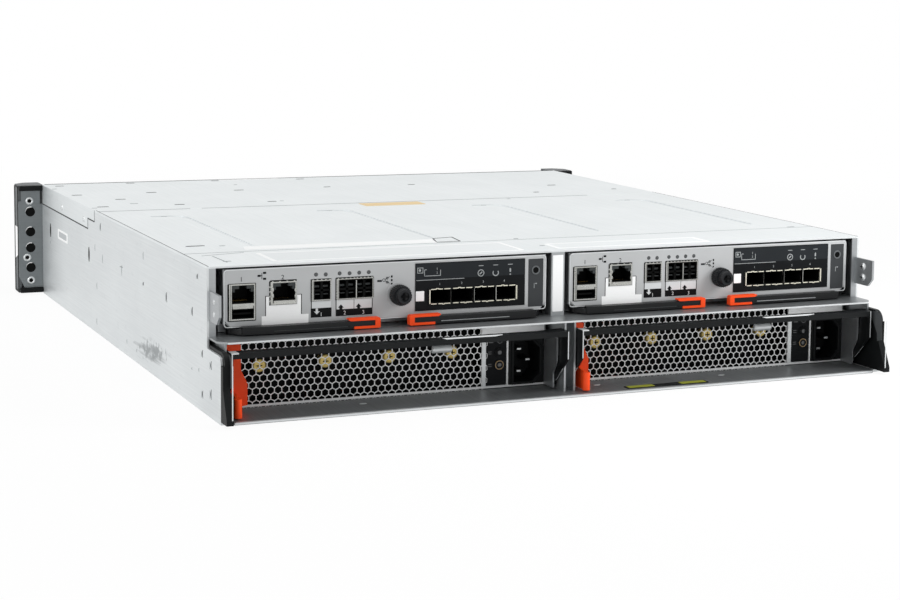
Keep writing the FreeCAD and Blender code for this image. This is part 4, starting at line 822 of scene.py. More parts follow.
COVER = ZincSheet("zinc_plated_cover_sheet", "cover_sheet", "#E4E8E9", 0.42, 0.6, dark="#D4D9DA", clouds=0.4)
TRAY = WornAndShadedZincSheet("zinc_tray_sheet_with_painted_floor_shade", "galvanised_sheet", "#DBDFE0", 0.42, 0.6, dark="#C6CACC")
# The shelf's sheet is darker than the covers: painted shade and a painted dark reflection.
SHADED_SHELF_SHEET = ZincSheet("zinc_shelf_sheet_with_painted_shade", "galvanised_sheet", "#9C9FA1", 0.4, 0.8, dark="#7F8385",
                        streak=(60.0, 0.9, 0.9))
CASE_SHEET = ZincSheet("zinc_plated_case_sheet", "galvanised_sheet", "#AEB1B3", 0.4, 0.8, dark="#969A9C",
                       streak=(60.0, 0.9, 0.9))
EAR_SHEET = ZincSheet("dull_zinc_ear_sheet", "galvanised_sheet", "#7F8486", 0.5, 0.6, dark="#6E7375",
                      streak=(60.0, 0.9, 0.9))
DIM_SHEET = ZincSheet("dull_zinc_sheet", "galvanised_sheet", "#6E7173", 0.5, 0.7, dark="#56595B",
                      streak=(0.9, 12.0, 12.0))
GRILLE_SHEET = ZincSheet("punched_zinc_grille", "galvanised_sheet", "#F4F5F5", 0.42, 0.1, dark="#E8EAEA",
                         streak=(60.0, 0.9, 0.9), clouds=0.2)
# Pale zinc: the real colour of the grille clips, floor nibs and lamp panel borders, and painted highlights
# along sheet, guard, handle and face edges.
PALE_ZINC_AND_HIGHLIGHT = ZincSheet("pale_zinc_and_painted_highlight", "galvanised_sheet", "#DCDFE0", 0.35, 0.4, dark="#C6CACB",
                 streak=(60.0, 0.9, 0.9), clouds=0.2)
FACE_ENAMEL = Paint("grey_baked_enamel", "face_paint", "#B9BBBC", 0.42, 0.1, 0.4)
DARK_ENAMEL = Paint("charcoal_baked_enamel", "face_paint", "#3E4042", 0.5, 0.0, 0.15, shade="#36383A")
BLACK_ENAMEL = Paint("black_baked_enamel", "black_steel", "#0F1011", 0.4, 0.0, 0.3, shade="#15171A")
# The handle is plated steel; its near-black colour is a painted dark reflection of its shaded surroundings.
HANDLE_DARK_REFLECTION = Paint("handle_steel_painted_dark_reflection", "handle_steel", "#121415", 0.42, 0.2, 0.2,
                     shade="#1C1E1F")
BLACK_ABS = Moulding("black_moulded_abs", "black_moulding", "#0E1011", 0.5, 0.0, 0.15, worn="#17191A")
DARK_PANEL = Moulding("charcoal_moulded_panel", "black_moulding", "#101214", 0.55, 0.0, 0.12, worn="#181A1C")
PANEL_BAND = Moulding("charcoal_printed_band", "black_moulding", "#232629", 0.55, 0.0, 0.12, worn="#2A2D30")
# Black nylon of the sockets; also painted shade: black in screw recesses, the ear holes and behind the
# supplies' grilles.
BLACK_NYLON_AND_SHADE = Moulding("black_nylon_and_painted_shade", "black_moulding", "#050606", 0.6, 0.0, 0.1, 0.3, 0.01,
                        "#0C0D0D")
# Grey nylon of the sockets; also a dim painted highlight line on the left levers.
GREY_NYLON_AND_DIM_HIGHLIGHT = Moulding("grey_nylon_and_dim_painted_highlight", "black_moulding", "#3A3E3F", 0.55, 0.0, 0.2, 0.3, 0.01,
                       "#50514F")
GREY_ABS = Moulding("grey_moulded_abs", "grey_moulding", "#606365", 0.5, 0.0, 0.2, worn="#6E7173")
ORANGE_NYLON = Moulding("orange_moulded_nylon", "orange_moulding", "#FF5220", 0.45, 0.0, 0.2, worn="#EC4614")
SHELL = Plated("nickel_plated_shell", "connector_shell", "#B9BAB6", 0.32, 0.8, tarnish="#8F8E86")
CAGE_EDGE = Plated("nickel_cage_edge", "connector_shell", "#E6E3D2", 0.4, 0.2, tarnish="#C9C5AE")
SCREW_STEEL = Plated("bright_plated_screw", "bright_screws", "#D5D8D9", 0.3, 0.8, tarnish="#B4B6B4")
KNOB_ABS = Moulding("black_knurled_knob", "bright_screws", "#0E1013", 0.42, 0.0, 0.3, worn="#1A1D22")
BRASS = Plated("yellow_passivated_brass", "brass_screws", "#E9CF7E", 0.35, 0.5, tarnish="#B9A050")
GOLD = Plated("gold_flashed_contact", "connector_shell", "#8A713C", 0.3, 0.8, tarnish="#5A4C2C")
LABEL = Paper("white_paper_label", "face_paint", "#FAFBFB", 0.6, 0.0, 0.3, shade="#F0F2F2")
FAINT_LABEL = Paper("clear_vinyl_label", "cover_sheet", "#E4E8E9", 0.5, 0.0, 0.4, shade="#D8DCDD")
LIGHT_PANEL = Paper("pale_printed_panel", "face_paint", "#D2D5D6", 0.5, 0.0, 0.3, shade="#C6C9CA")
PLATE_MARK = Paper("grey_printed_plate", "face_paint", "#BDC1C3", 0.6, 0.0, 0.3, shade="#ABAFB1")
YELLOW_LABEL = Paper("yellow_vinyl_label", "cover_sheet", "#E8CC98", 0.5, 0.0, 0.3, shade="#DCBE84")
GREEN_LABEL = Paper("yellow_green_vinyl_patch", "galvanised_sheet", "#989C30", 0.5, 0.0, 0.3, shade="#80842A")
INK = Paper("dark_printing_ink", "face_paint", "#2C2E30", 0.6, 0.0, 0.2, shade="#222426")
BLACK_INK = Paper("black_printed_strip", "face_paint", "#0B0C0D", 0.6, 0.0, 0.12, shade="#131517")
PALE_INK = Paper("pale_printing_ink", "black_moulding", "#D5D8D8", 0.5)
# Grey printing ink; also a painted highlight line on the right levers.
GREY_INK_AND_HIGHLIGHT = Paper("grey_ink_and_painted_highlight", "black_moulding", "#9EA2A3", 0.5, shade="#7C8081")
GAP = Paper("dark_sheet_gap", "cover_sheet", "#3C3F41", 0.7, 0.0, 0.1, shade="#2B2D2F")
FAINT_GAP = Paper("faint_sheet_joint", "cover_sheet", "#9DA2A4", 0.7, 0.0, 0.2, shade="#898E90")
CLEAR_PIPE = LightPipe("clear_light_pipe", "black_moulding", "#8D9192", 0.2)
DARK_PIPE = LightPipe("dark_lamp_lens", "black_moulding", "#3E4143", 0.15, core="#2A2C2E")
AMBER_PIPE = LightPipe("amber_light_pipe", "black_moulding", "#9A7A44", 0.2, core="#4A3A1E")
MASK = BoardMask("green_solder_mask", "circuit_board", "#14381F", 0.3)
CARRIER = Moulding("dark_coated_carrier", "carrier_alloy", "#1C1E20", 0.45, 0.3, 0.3)


# Pieces

def outward(points: np.ndarray, faces: list[list[int]]) -> int:
    """The step that reads each face so that the shape points outwards.

    A shape's volume is a sixth of the sum, over the triangles of its faces, of the triple products of their
    corners. Where that is negative, every face is turned round.

    Args:
        points: The shape's points.
        faces: Its faces.

    Returns:
        1, or -1 to turn the faces round.
    """
    middle = points - points.mean(0)
    fans = np.array([(f[0], f[k], f[k + 1]) for f in faces for k in range(1, len(f) - 1)])
    a, b, c = middle[fans[:, 0]], middle[fans[:, 1]], middle[fans[:, 2]]
    return -1 if np.einsum("ij,ij->", a, np.cross(b, c)) < 0 else 1


@dataclass
class Assembly:
    """What sub-assemblies share: the body that their pieces ride on, and the start of their names."""

    body: str
    prefix: str = ""

    def dress(self, finishes: dict[str, Finish]) -> None:
        """Gives CAD nodes their finishes.

        Args:
            finishes: Each node's finish, by its name after the prefix.
        """
        for name, finish in finishes.items():
            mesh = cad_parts[self.prefix + name].data
            mesh.materials.clear()
            mesh.materials.append(finish.material())
            LOG.info("%s is dressed with %s", self.prefix + name, finish.name)

    def piece(self, name: str, finish: Finish, solids: list[Solid], node: str = "", smooth: bool = False,
              body: str = "") -> None:
        """Makes one visible piece from closed shapes, dresses it and lets it ride on its body.

        Args:
            name: Its name after the prefix.
            finish: Its finish.
            solids: Closed shapes in millimetres.
            node: The CAD node that it stands for, after the prefix.
            smooth: Whether edges under SMOOTH_ANGLE are shaded smooth.
            body: Another body to ride on.
        """
        points, faces, count = [], [], 0
        for shape, polygons in solids:
            step = outward(shape, polygons)
            faces += [[i + count for i in f[::step]] for f in polygons]
            points.append(shape)
            count += len(shape)
        mesh = bpy.data.meshes.new(self.prefix + name)
        mesh.from_pydata((np.concatenate(points) - np.array([0.0, ORIGIN_Y, 0.0])) * MM, [], faces)
        mesh.materials.append(finish.material())
        if smooth:
            mesh.shade_smooth()
            mesh.set_sharp_from_angle(angle=SMOOTH_ANGLE)
        mesh.update()
        made = bpy.data.objects.new(self.prefix + name, mesh)
        bpy.context.scene.collection.objects.link(made)
        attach(made, body or self.body)
        if node:
            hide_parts(self.prefix + node)
        LOG.info("%s rides on %s: %d points", made.name, body or self.body, count)


@dataclass
class Chassis(Assembly):
    """Sheet-metal chassis: tray, covers, shelf, divider, ears, caps, guards, brackets and its small marks."""

    half: float = 223.0
    inner: float = 221.8
    ear_outer: float = 241.5
    bracket_screw: float = -10.5
    roof: Face = Face(Side.TOP, 87.0)
    ear: Face = Face(Side.REAR, 490.0)
    rear: Face = Face(Side.REAR, 0.0)
    bay_floor: Face = Face(Side.TOP, 1.5)

    def build(self) -> None:
        """Dresses the CAD nodes and adds the marks, labels and screws."""
        self.dress({"base_tray": TRAY, "front_cover": COVER, "rear_cover": COVER, "mid_shelf": SHADED_SHELF_SHEET,
                    "centre_divider": CASE_SHEET, "midplane": MASK, "drive_cage": CASE_SHEET,
                    "rack_ears": EAR_SHEET, "end_caps": GREY_ABS, "psu_guards": BLACK_ABS,
                    "rear_brackets": CASE_SHEET})
        self.screws()
        self.seams()
        self.side_marks()
        self.top_marks()
        self.labels()
        self.ear_details()
        self.bright_edges()
        self.guard_details()
        self.floor_strip()

    def walls(self, x: float) -> list[Face]:
        """The two outer faces at a distance from the middle, left and right."""
        return [Face(Side.LEFT, -x), Face(Side.RIGHT, x)]

    def screws(self) -> None:
        """Domed heads with cross recesses, in place of the plain CAD heads."""
        heads, recesses = [], []
        for sign, wall, inward in zip((-1, 1), self.walls(self.inner), (Side.RIGHT, Side.LEFT)):
            back = Face(inward, wall.at - sign * 1.5)
            for z in (60.7, 67.9):
                heads += [wall.head(self.bracket_screw, z, 1.6, 0.25),
                          back.head(self.bracket_screw, z, 2.6, 1.5)]
                recesses.append(back.lift(1.46).cross(self.bracket_screw, z, 1.4, 0.6))
            heads += [Face(wall.side, sign * self.half).head(y, 76.9, 2.4, 0.8) for y in (334.5, 413.0)]
            for z, gap in ((10.7, 9.0), (29.0, 6.2), (74.0, 8.4)):
                u = sign * (self.ear_outer - gap)
                heads.append(self.ear.ring(u, z, 3.0, 1.5, 24, 1.0, 0.4))
                recesses.append(self.ear.disc(u, z, 1.55, 16, 0.3))
        self.piece("chassis_screw_heads", SCREW_STEEL, heads, "chassis_screws", True)
        # Painted shade: flat dark crosses and discs stand for the hollows of the recesses.
        self.piece("chassis_screw_recesses", BLACK_NYLON_AND_SHADE, recesses)

    def seams(self) -> None:
        """Dark joints between the covers, the side walls and the front cover's stepped flange, and a dark
        band along the top's front edge.
        """
        dark = [self.roof.line(-221.5, 488.2, 221.5, 488.2, 3.2, 0.04)]
        for sign, wall in zip((-1, 1), self.walls(self.half)):
            x = sign * (self.inner + 0.25)
            dark.append(self.roof.line(x, 0.2, x, 298.0, 0.5, 0.04))
            dark += [wall.line(*run, 0.08) for run in (
                (321.0, 71.5, 489.5, 71.5, 0.9), (321.2, 71.1, 321.2, 79.2, 0.9),
                (299.2, 78.9, 321.5, 78.9, 0.9), (299.2, 78.5, 299.2, 86.9, 0.7))]
        self.piece("cover_joints", GAP, dark)
        self.piece("cover_faint_joints", FAINT_GAP, [self.roof.line(*run, 0.04) for run in (
            (-221.5, 290.2, -156.5, 290.2, 1.5), (-148.0, 290.2, 160.0, 290.2, 1.5),
            (-221.5, 56.5, 221.5, 56.5, 1.2), (-214.0, 45.0, -186.0, 52.5, 1.2),
            (-208.2, 42.0, -207.1, 13.5, 1.0))])

    def side_marks(self) -> None:
        """Spot-weld marks as pairs of short arcs, and the two dark lances, on both side walls."""
        marks, faint, lances = [], [], []
        for wall in self.walls(self.half):
            for y, z, tall in ((279.9, 77.5, 5.5), (20.9, 78.6, 3.2), (94.3, 55.5, 6.5), (32.8, 56.1, 5.5),
                               (10.5, 34.5, 4.6), (-8.2, 31.0, 5.2), (10.4, 10.5, 4.6), (-8.0, 14.0, 6.0),
                               (154.3, 55.3, 2.4)):
                marks.append(wall.plate(arc(y - 1.2, z, 1.1, tall, 1.5), 0.05))
                faint.append(wall.plate(arc(y + 2.4, z - 0.6, -0.8, tall * 0.8, 1.2), 0.05))
            faint += [wall.plate(arc(y, z, 0.9, tall, 1.4), 0.05) for y, z, tall in (
                (297.7, 60.6, 5.0), (273.1, 55.7, 6.5), (214.8, 55.6, 7.5), (292.3, 34.0, 5.0),
                (293.4, 8.4, 5.0), (200.9, 9.5, 3.0), (153.6, 73.5, 5.0), (33.4, 21.4, 1.6),
                (17.5, 23.5, 2.4), (459.0, 44.5, 2.6))]
            faint.append(wall.line(212.0, 58.0, 221.0, 57.4, 0.7))
            lances += [wall.plate(arc(y, z, 0.0, 10.6, 4.6), 0.05) for y, z in ((458.3, 54.1), (318.3, 53.2))]
        self.piece("side_marks", GAP, marks)
        self.piece("side_faint_marks", FAINT_GAP, faint)
        self.piece("side_slots", BLACK_NYLON_AND_SHADE, lances)

    def dash(self, x: float, y: float, wide: float, half: float, corner: float) -> Solid:
        """A short dash along x on the covers."""
        return self.roof.plate(rectangle(x - wide / 2, x + wide / 2, y - half, y + half, corner), 0.05)

    def top_marks(self) -> None:
        """Short lance marks on the covers, drawn as dark dashes along x, and the grooves' faint ends."""
        self.piece("top_lance_marks", GAP, [self.dash(*mark, 1.4, 1.2) for mark in (
            (-213.0, 472.0, 7.0), (-155.7, 479.4, 7.0), (-86.5, 479.8, 7.0), (-15.7, 475.2, 7.0),
            (-88.2, 403.8, 8.0), (-156.7, 405.4, 8.0), (-189.6, 364.8, 8.0), (-213.9, 402.1, 8.0),
            (-157.1, 318.3, 7.5), (-212.6, 319.0, 8.5), (-87.2, 318.7, 7.0), (-14.7, 407.9, 6.0),
            (165.9, 370.2, 7.5), (130.9, 323.1, 5.0), (202.3, 327.8, 4.5), (57.0, 407.0, 6.0),
            (-206.0, 90.0, 12.0))])
        faint = [self.dash(*mark, 1.2, 1.0) for mark in (
            (-79.2, 444.8, 3.0), (-186.8, 333.6, 6.0), (-220.0, 312.8, 4.0), (-79.2, 320.5, 3.0),
            (90.1, 284.0, 3.0), (-2.1, 61.0, 3.5), (-0.3, 23.7, 3.5), (-221.0, 451.0, 4.0),
            (-206.0, 18.0, 5.0), (-190.0, 86.0, 4.0), (206.0, 60.0, 6.0))]
        faint += [self.roof.line(x - 15.0, 248.2, x - 11.0, 248.2, 2.0, 0.03)
                  for x in (-173.0, -53.0, 67.0, 187.0)]
        self.piece("top_faint_marks", FAINT_GAP, faint)

    def labels(self) -> None:
        """Bare labels on the top, the side, the pillar and the front strip of the cover."""
        roof, left = self.roof, Face(Side.LEFT, -self.half)
        self.piece("cover_labels", LABEL, [
            roof.plate(polygon((-182.0, 64.0), (-58.0, 58.5), (-55.0, 75.0), (-179.0, 78.0)), 0.1, 0.03),
            roof.plate(rectangle(-82.5, -31.6, 480.5, 486.5, 1.0), 0.1, 0.03),
            left.rim(rectangle(393.0, 429.5, 51.2, 58.8, 1.4),
                     rectangle(397.0, 425.5, 52.8, 57.2, 0.9), 0.12, 0.03),
            self.rear.plate(rectangle(-3.6, 3.6, 48.4, 84.0, 0.5), 0.12, 0.03)])
        self.piece("cover_clear_labels", FAINT_LABEL, [
            roof.plate(rectangle(-180.0, -20.0, 8.0, 46.0, 1.0), 0.1, 0.03),
            roof.plate(rectangle(4.0, 112.0, 8.0, 30.0, 1.0), 0.1, 0.03)])
        self.piece("side_label_centre", PLATE_MARK,
                   [left.plate(rectangle(397.0, 425.5, 52.8, 57.2, 0.8), 0.06, 0.02)])
        self.piece("cover_label_edges", LABEL, [
            roof.rim(rectangle(-180.6, -19.4, 7.4, 46.6, 1.4),
                     rectangle(-178.0, -22.0, 9.6, 44.4, 1.0), 0.13, 0.02),
            roof.rim(rectangle(3.4, 112.6, 7.4, 30.6, 1.4),
                     rectangle(6.0, 110.0, 9.6, 28.4, 1.0), 0.13, 0.02)])
        self.piece("cover_label_lines", INK, [
            roof.rim(polygon((-58.0, 60.0), (-41.0, 60.0), (-38.4, 81.6), (-53.5, 78.5)),
                     polygon((-57.2, 60.9), (-41.7, 60.9), (-39.4, 80.6), (-52.8, 77.6)), 0.12)])
        self.piece("cover_yellow_label", YELLOW_LABEL, [
            roof.plate(rectangle(-31.0, 16.0, 268.0, 286.0, 1.2), 0.12, 0.04)])

    def ear_details(self) -> None:
        """Black rear edge and side lips of the end caps, and black discs of painted shade in each ear's
        holes.
        """
        lips, holes = [], []
        for sign, wall in zip((-1, 1), self.walls(self.ear_outer)):
            lips.append(wall.rim(rectangle(492.2, 506.6, 1.2, 85.8, 1.2),
                                 rectangle(493.6, 505.4, 2.6, 84.4, 0.8), 0.5, 0.2))
            u0, u1 = sorted((sign * (self.ear_outer - 0.6), sign * (self.half + 0.1)))
            lips += [self.ear.plate(rectangle(u0, u1, v, v + 4.0, 0.6), 1.6, 0.2, 1.9) for v in (82.1, 0.9)]
            # Painted shade: black discs in the holes, where the caps' grey insides lie in shadow.
            holes += [self.ear.disc(sign * (self.ear_outer - 8.95), z - 0.4, 3.7, 24, 0.06)
                      for z in (21.3, 37.15, 49.85, 65.7)]
        self.piece("end_cap_lips", BLACK_ABS, lips)
        self.piece("ear_hole_shade", BLACK_NYLON_AND_SHADE, holes)

    def bright_edges(self) -> None:
        """Painted highlights: pale strips on the edges of the shelf, side walls, floor hem and covers' rear
        edge, and a black shadow gap under that edge.
        """
        rear, hem = self.rear, self.rear.lift(29.0)
        # Painted highlights: pale strips where the sheet edges catch the light.
        bright = [rear.lift(22.0).bar(-217.0, 217.0, 44.9, 45.9),
                  rear.lift(32.0).bar(-215.6, 215.6, 0.3, 1.4),
                  rear.bar(-221.0, 221.0, 86.0, 86.9), self.bay_floor.bar(-215.0, 215.0, -31.6, -30.4)]
        for u in (-222.9, 222.0):
            bright += [rear.bar(u, u + 0.9, 39.6, 85.8), hem.bar(u, u + 0.9, 1.6, 39.0)]
        self.piece("painted_edge_highlights", PALE_ZINC_AND_HIGHLIGHT, bright)
        self.piece("cover_rear_shadow_gap", BLACK_NYLON_AND_SHADE, [
            rear.lift(-0.5).bar(u, u + 216.8, 84.9, 85.9, 0.0, 1.0) for u in (-221.4, 4.6)])

    def guard_details(self) -> None:
        """Grey steel seen on the guards' inner faces, and painted highlights on their lower edges."""
        outline = polygon((-24.7, 40.1), (-31.7, 40.9), (-36.4, 39.3), (-37.4, 22.8), (-31.6, 21.1),
                          (-31.3, 26.4), (-24.9, 35.5))
        self.piece("guard_steel_face", DIM_SHEET, [
            Face(side, at).plate(outline, 0.06)
            for side, at in ((Side.RIGHT, -218.8), (Side.LEFT, 218.8))])
        # Painted highlights: pale strips on the guards' edges.
        self.piece("guard_edge_highlights", PALE_ZINC_AND_HIGHLIGHT, [
            self.rear.lift(40.9).bar(u, u + 0.7, 4.0, 36.0, 0.1) for u in (-219.9, 219.2)])

    def floor_strip(self) -> None:
        """Rubber strip with two pale patches on the right power supply bay's floor, and the floor's nibs."""
        floor = self.bay_floor
        self.piece("bay_floor_strip", BLACK_ABS, [
            floor.plate(rectangle(37.0, 95.0, -27.0, -20.0, 1.0), 0.35, 0.1)])
        self.piece("bay_floor_patches", GREEN_LABEL, [
            floor.lift(0.35).plate(rectangle(u, u + 18.0, -26.3, -20.7, 0.6), 0.1, 0.03)
            for u in (38.5, 75.5)])
        self.piece("bay_floor_nibs", PALE_ZINC_AND_HIGHLIGHT, [
            floor.plate(arc(0.0, 0.0, 0.0, 4.5, 2.2)[:, ::-1] + np.array([x, -9.0]), 0.25, 0.1)
            for x in (-131.0, 24.0, 114.0)])


@dataclass
class Canister(Assembly):
    """Controller canister: case, enamelled face, connectors, host panel, knob, levers and orange tips."""

    side: str = "left"
    x0: float = 0.0

    @property
    def face(self) -> Face:
        """The rear face, measured from the canister's left edge."""
        return Face(Side.REAR, 0.0, self.x0)

    def build(self) -> None:
        """Dresses the CAD nodes and adds everything on the face."""
        self.dress({"case": CASE_SHEET, "face": FACE_ENAMEL, "board": MASK, "host_panel": DARK_PANEL,
                    "host_cage": SHELL, "left_lever": BLACK_ENAMEL, "right_lever": BLACK_ENAMEL,
                    "left_lever_tip": ORANGE_NYLON, "right_lever_tip": ORANGE_NYLON})
        self.shells()
        self.jack_parts()
        self.disk_socket_parts()
        self.gaps()
        self.legends()
        self.labels()
        self.strips()
        self.panel_marks()
        self.cage_details()
        self.knob()
        self.service_strip()
        self.lever_lines()

    def shells(self) -> None:
        """Stamped shells round the sockets, in place of the plain CAD ones: frames and their long walls."""
        face, front = self.face, self.face.lift(0.6)
        shell = [face.rim(rectangle(u0, u1, v0, v1, 0.3),
                          rectangle(u0 + left, u1 - rest, v0 + rest, v1 - rest, 0.3), 0.6, 0.15, 14.0)
                 for u0, u1, v0, v1, left, rest in (
                     (3.2, 18.9, 54.6, 75.9, 1.7, 0.8), (28.0, 43.9, 62.7, 76.2, 1.5, 0.8),
                     (53.1, 65.2, 63.6, 75.9, 1.3, 0.6), (68.4, 91.5, 63.6, 76.0, 1.5, 0.5))]
        shell += [face.bar(*walls, 13.0) for walls in (
            (5.2, 18.1, 62.9, 64.4, 0.5), (5.6, 17.9, 61.2, 63.0, -0.4), (29.9, 43.4, 63.2, 65.0, 0.45),
            (80.5, 81.0, 63.9, 74.9, 0.5))]
        for v in (67.0, 70.6):
            shell += [front.plate(rectangle(28.6, 29.9, v, v + 2.2, 0.4), 0.5, 0.2),
                      front.plate(rectangle(42.5, 43.6, v - 0.6, v + 1.2, 0.4), 0.4, 0.2)]
        self.piece("port_shells", SHELL, shell, "ports")
        self.piece("shell_seams", GREY_NYLON_AND_DIM_HIGHLIGHT, [front.bar(u, u + 0.3, v0, v1, 0.04) for u, v0, v1 in (
            (4.0, 55.0, 75.6), (53.65, 64.0, 75.4), (69.05, 64.0, 75.4))])

    def jack_parts(self) -> None:
        """Black liners of the jacks and the bus socket, stepped like a crown at the top, and their tongue."""
        face, pins = self.face, self.face.lift(-12.6)
        dark, grey = [], []
        for u0, u1, v0, v1, middle in ((4.95, 18.05, 64.45, 75.05, 11.5), (29.55, 43.05, 65.05, 75.35, 36.5)):
            dark += face.tub(u0, u1, v0, v1, 13.4)
            grey += [face.bar(a + 0.02, b, v1 - 1.9, v1 - 0.02, 0.35, 4.0)
                     for a, b in ((u0, middle - 2.3), (middle + 2.3, u1))]
            grey += [face.bar(a + 0.02, a + 1.68, v1 - 3.8, v1 - 1.88, 0.2, 4.0) for a in (u0, u1 - 1.7)]
        dark += face.tub(4.95, 18.05, 55.45, 61.15, 13.4)
        dark.append(face.lift(-13.0).plate(rectangle(5.9, 17.1, 57.6, 59.0), 11.5, 0.2))
        self.piece("jack_liners", BLACK_NYLON_AND_SHADE, dark)
        self.piece("jack_lamp_windows", GREY_NYLON_AND_DIM_HIGHLIGHT, grey)
        gold = [pins.bar(u, u + 0.45, 65.3, 65.7, 7.5) for start in (7.0, 32.0)
                for u in start + np.arange(8) * 1.15]
        gold += [pins.bar(u, u + 1.0, 57.35, 57.62, 8.6) for u in 6.9 + np.arange(4) * 2.5]
        self.piece("contacts", GOLD, gold)

    def disk_socket_parts(self) -> None:
        """Liners of the disk sockets: two by two cells with card slots that show as faint bars."""
        deep = self.face.lift(-13.0)
        dark, grey = [], []
        for u0, u1 in ((54.45, 64.55), (69.95, 80.45), (81.05, 90.95)):
            middle = (u0 + u1) / 2
            dark += self.face.tub(u0, u1, 64.25, 75.25, 13.4, 0.4)
            dark += [deep.plate(rectangle(middle - 0.8, middle + 0.8, 64.7, 74.8), 12.6, 0.1),
                     deep.plate(rectangle(u0 + 0.4, u1 - 0.4, 69.0, 70.4), 12.6, 0.1)]
            for u in (u0 + 0.9, middle + 1.1):
                grey += [deep.plate(rectangle(u, u + 3.0, 67.1, 67.6), 12.2, 0.1),
                         deep.plate(rectangle(u, u + 3.0, 71.4, 72.6), 11.4, 0.1)]
        self.piece("disk_socket_liners", BLACK_NYLON_AND_SHADE, dark)
        self.piece("disk_socket_cards", GREY_NYLON_AND_DIM_HIGHLIGHT, grey)

    def gaps(self) -> None:
        """Dark gaps between the shells and the face's cut-outs, and the small spring fingers across them."""
        face = self.face
        self.piece("socket_gaps", BLACK_NYLON_AND_SHADE, [face.bar(*cut, 0.07) for cut in (
            (2.4, 3.2, 54.2, 75.9), (27.3, 28.0, 62.4, 76.6), (52.5, 53.1, 63.3, 76.4),
            (67.8, 68.4, 63.3, 76.6), (3.2, 19.1, 54.0, 54.5), (18.95, 19.4, 54.2, 75.9),
            (28.0, 43.9, 76.25, 76.9), (53.1, 65.2, 75.95, 76.7), (68.4, 91.5, 76.05, 76.9),
            (91.5, 91.9, 63.9, 76.2))])
        fingers = [face.bar(u - 0.45, u + 0.45, v, v + 0.5, 0.3)
                   for start, end, count, v in ((29.4, 42.6, 4, 76.2), (54.0, 64.4, 5, 75.9),
                                                (69.6, 79.6, 5, 76.0), (81.4, 90.6, 5, 76.0))
                   for u in np.linspace(start, end, count)]
        fingers += [face.bar(27.35, 28.0, v, v + 0.9, 0.25) for v in (64.4, 67.2, 70.0, 72.8)]
        self.piece("shell_fingers", SHELL, fingers)

    def legends(self) -> None:
        """Generic printed numerals, the network sign, a fan-out sign and the lamp dots on the grey face."""
        face = self.face
        self.piece("printed_legends", INK, [
            face.written("1", 2.7, 10.6, 78.7), face.written("2", 2.7, 35.5, 78.8),
            face.bar(94.0, 96.9, 72.9, 74.1),
            *(face.ring(u, v, r, r - 0.35, 14, 0.05) for u, v, r in (
                (98.2, 73.9, 1.0), (100.3, 75.0, 0.8), (100.3, 72.6, 0.8))),
            face.line(99.0, 74.3, 101.8, 75.8, 0.4), face.line(99.0, 73.4, 101.8, 71.8, 0.4)])
        black = [face.bar(u, u + 1.9, v, v + 1.2, 0.06)
                 for u, v in ((20.3, 79.6), (23.6, 81.2), (23.6, 77.7))]
        black += [face.line(22.0, 80.2, 23.2, 80.2, 0.35), face.line(22.9, 78.2, 22.9, 81.7, 0.35)]
        black += [face.bar(102.7, 103.7, v, v + 1.3, 0.06) for v in (70.7, 73.0, 75.2)]
        black += [face.arrow(u, 57.0, 58.7, 60.7, 0.9, 0.14) for u in (71.2, 82.3)]
        self.piece("black_legends", BLACK_INK, black)
        self.piece("lamp_dots", DARK_PIPE, [face.head(u, v, 1.25, 0.2) for u, v in (
            (55.8, 79.3), (61.8, 79.1), (70.4, 79.3), (76.6, 79.1), (82.6, 79.2), (88.6, 79.2))], smooth=True)

    def labels(self) -> None:
        """White label round the foot of the second jack, and the pale light panels under the disk sockets."""
        face = self.face
        around = polygon((25.4, 55.6), (25.4, 67.7), (27.3, 67.7), (27.3, 62.3), (44.3, 62.3), (44.3, 67.9),
                         (46.6, 67.9), (46.6, 55.6))
        self.piece("labels", LABEL, [face.plate(around, 0.1),
                                     face.plate(rectangle(22.7, 51.2, 50.9, 56.2, 0.2), 0.14, 0.04)])
        self.piece("light_panels", LIGHT_PANEL, [face.plate(rectangle(53.2, 65.0, 59.2, 63.2), 0.08, 0.03),
                                                 face.plate(rectangle(68.5, 90.6, 57.8, 63.2), 0.08, 0.03)])
        self.piece("label_outlines", INK, [face.bar(*edge, 0.07) for edge in (
            (24.9, 25.35, 56.0, 68.1), (46.65, 47.15, 56.4, 68.2), (24.9, 27.2, 67.75, 68.1),
            (44.4, 47.15, 67.95, 68.3))])

    def strips(self) -> None:
        """Black number strips with a white arrow and numerals, and black lines beside the light panels."""
        face, top = self.face, self.face.lift(0.1)
        self.piece("number_strips", BLACK_INK, [
            face.plate(rectangle(52.6, 65.4, 53.7, 59.2, 0.2), 0.1, 0.03),
            face.plate(rectangle(68.0, 91.0, 53.7, 57.7, 0.2), 0.1, 0.03),
            *(face.bar(*edge) for edge in (
                (52.7, 53.15, 59.0, 63.6, 0.09), (68.0, 68.45, 57.4, 63.6, 0.09),
                (90.7, 91.1, 57.4, 63.6, 0.09), (79.25, 79.55, 57.4, 63.2, 0.1)))])
        self.piece("pale_legends", PALE_INK, [
            *(top.written(text, 2.3, u, v)
              for text, u, v in (("1", 59.0, 55.4), ("2", 73.6, 55.6), ("3", 85.2, 55.3))),
            top.arrow(56.3, 59.1, 57.3, 55.5, 0.7, 0.05)])

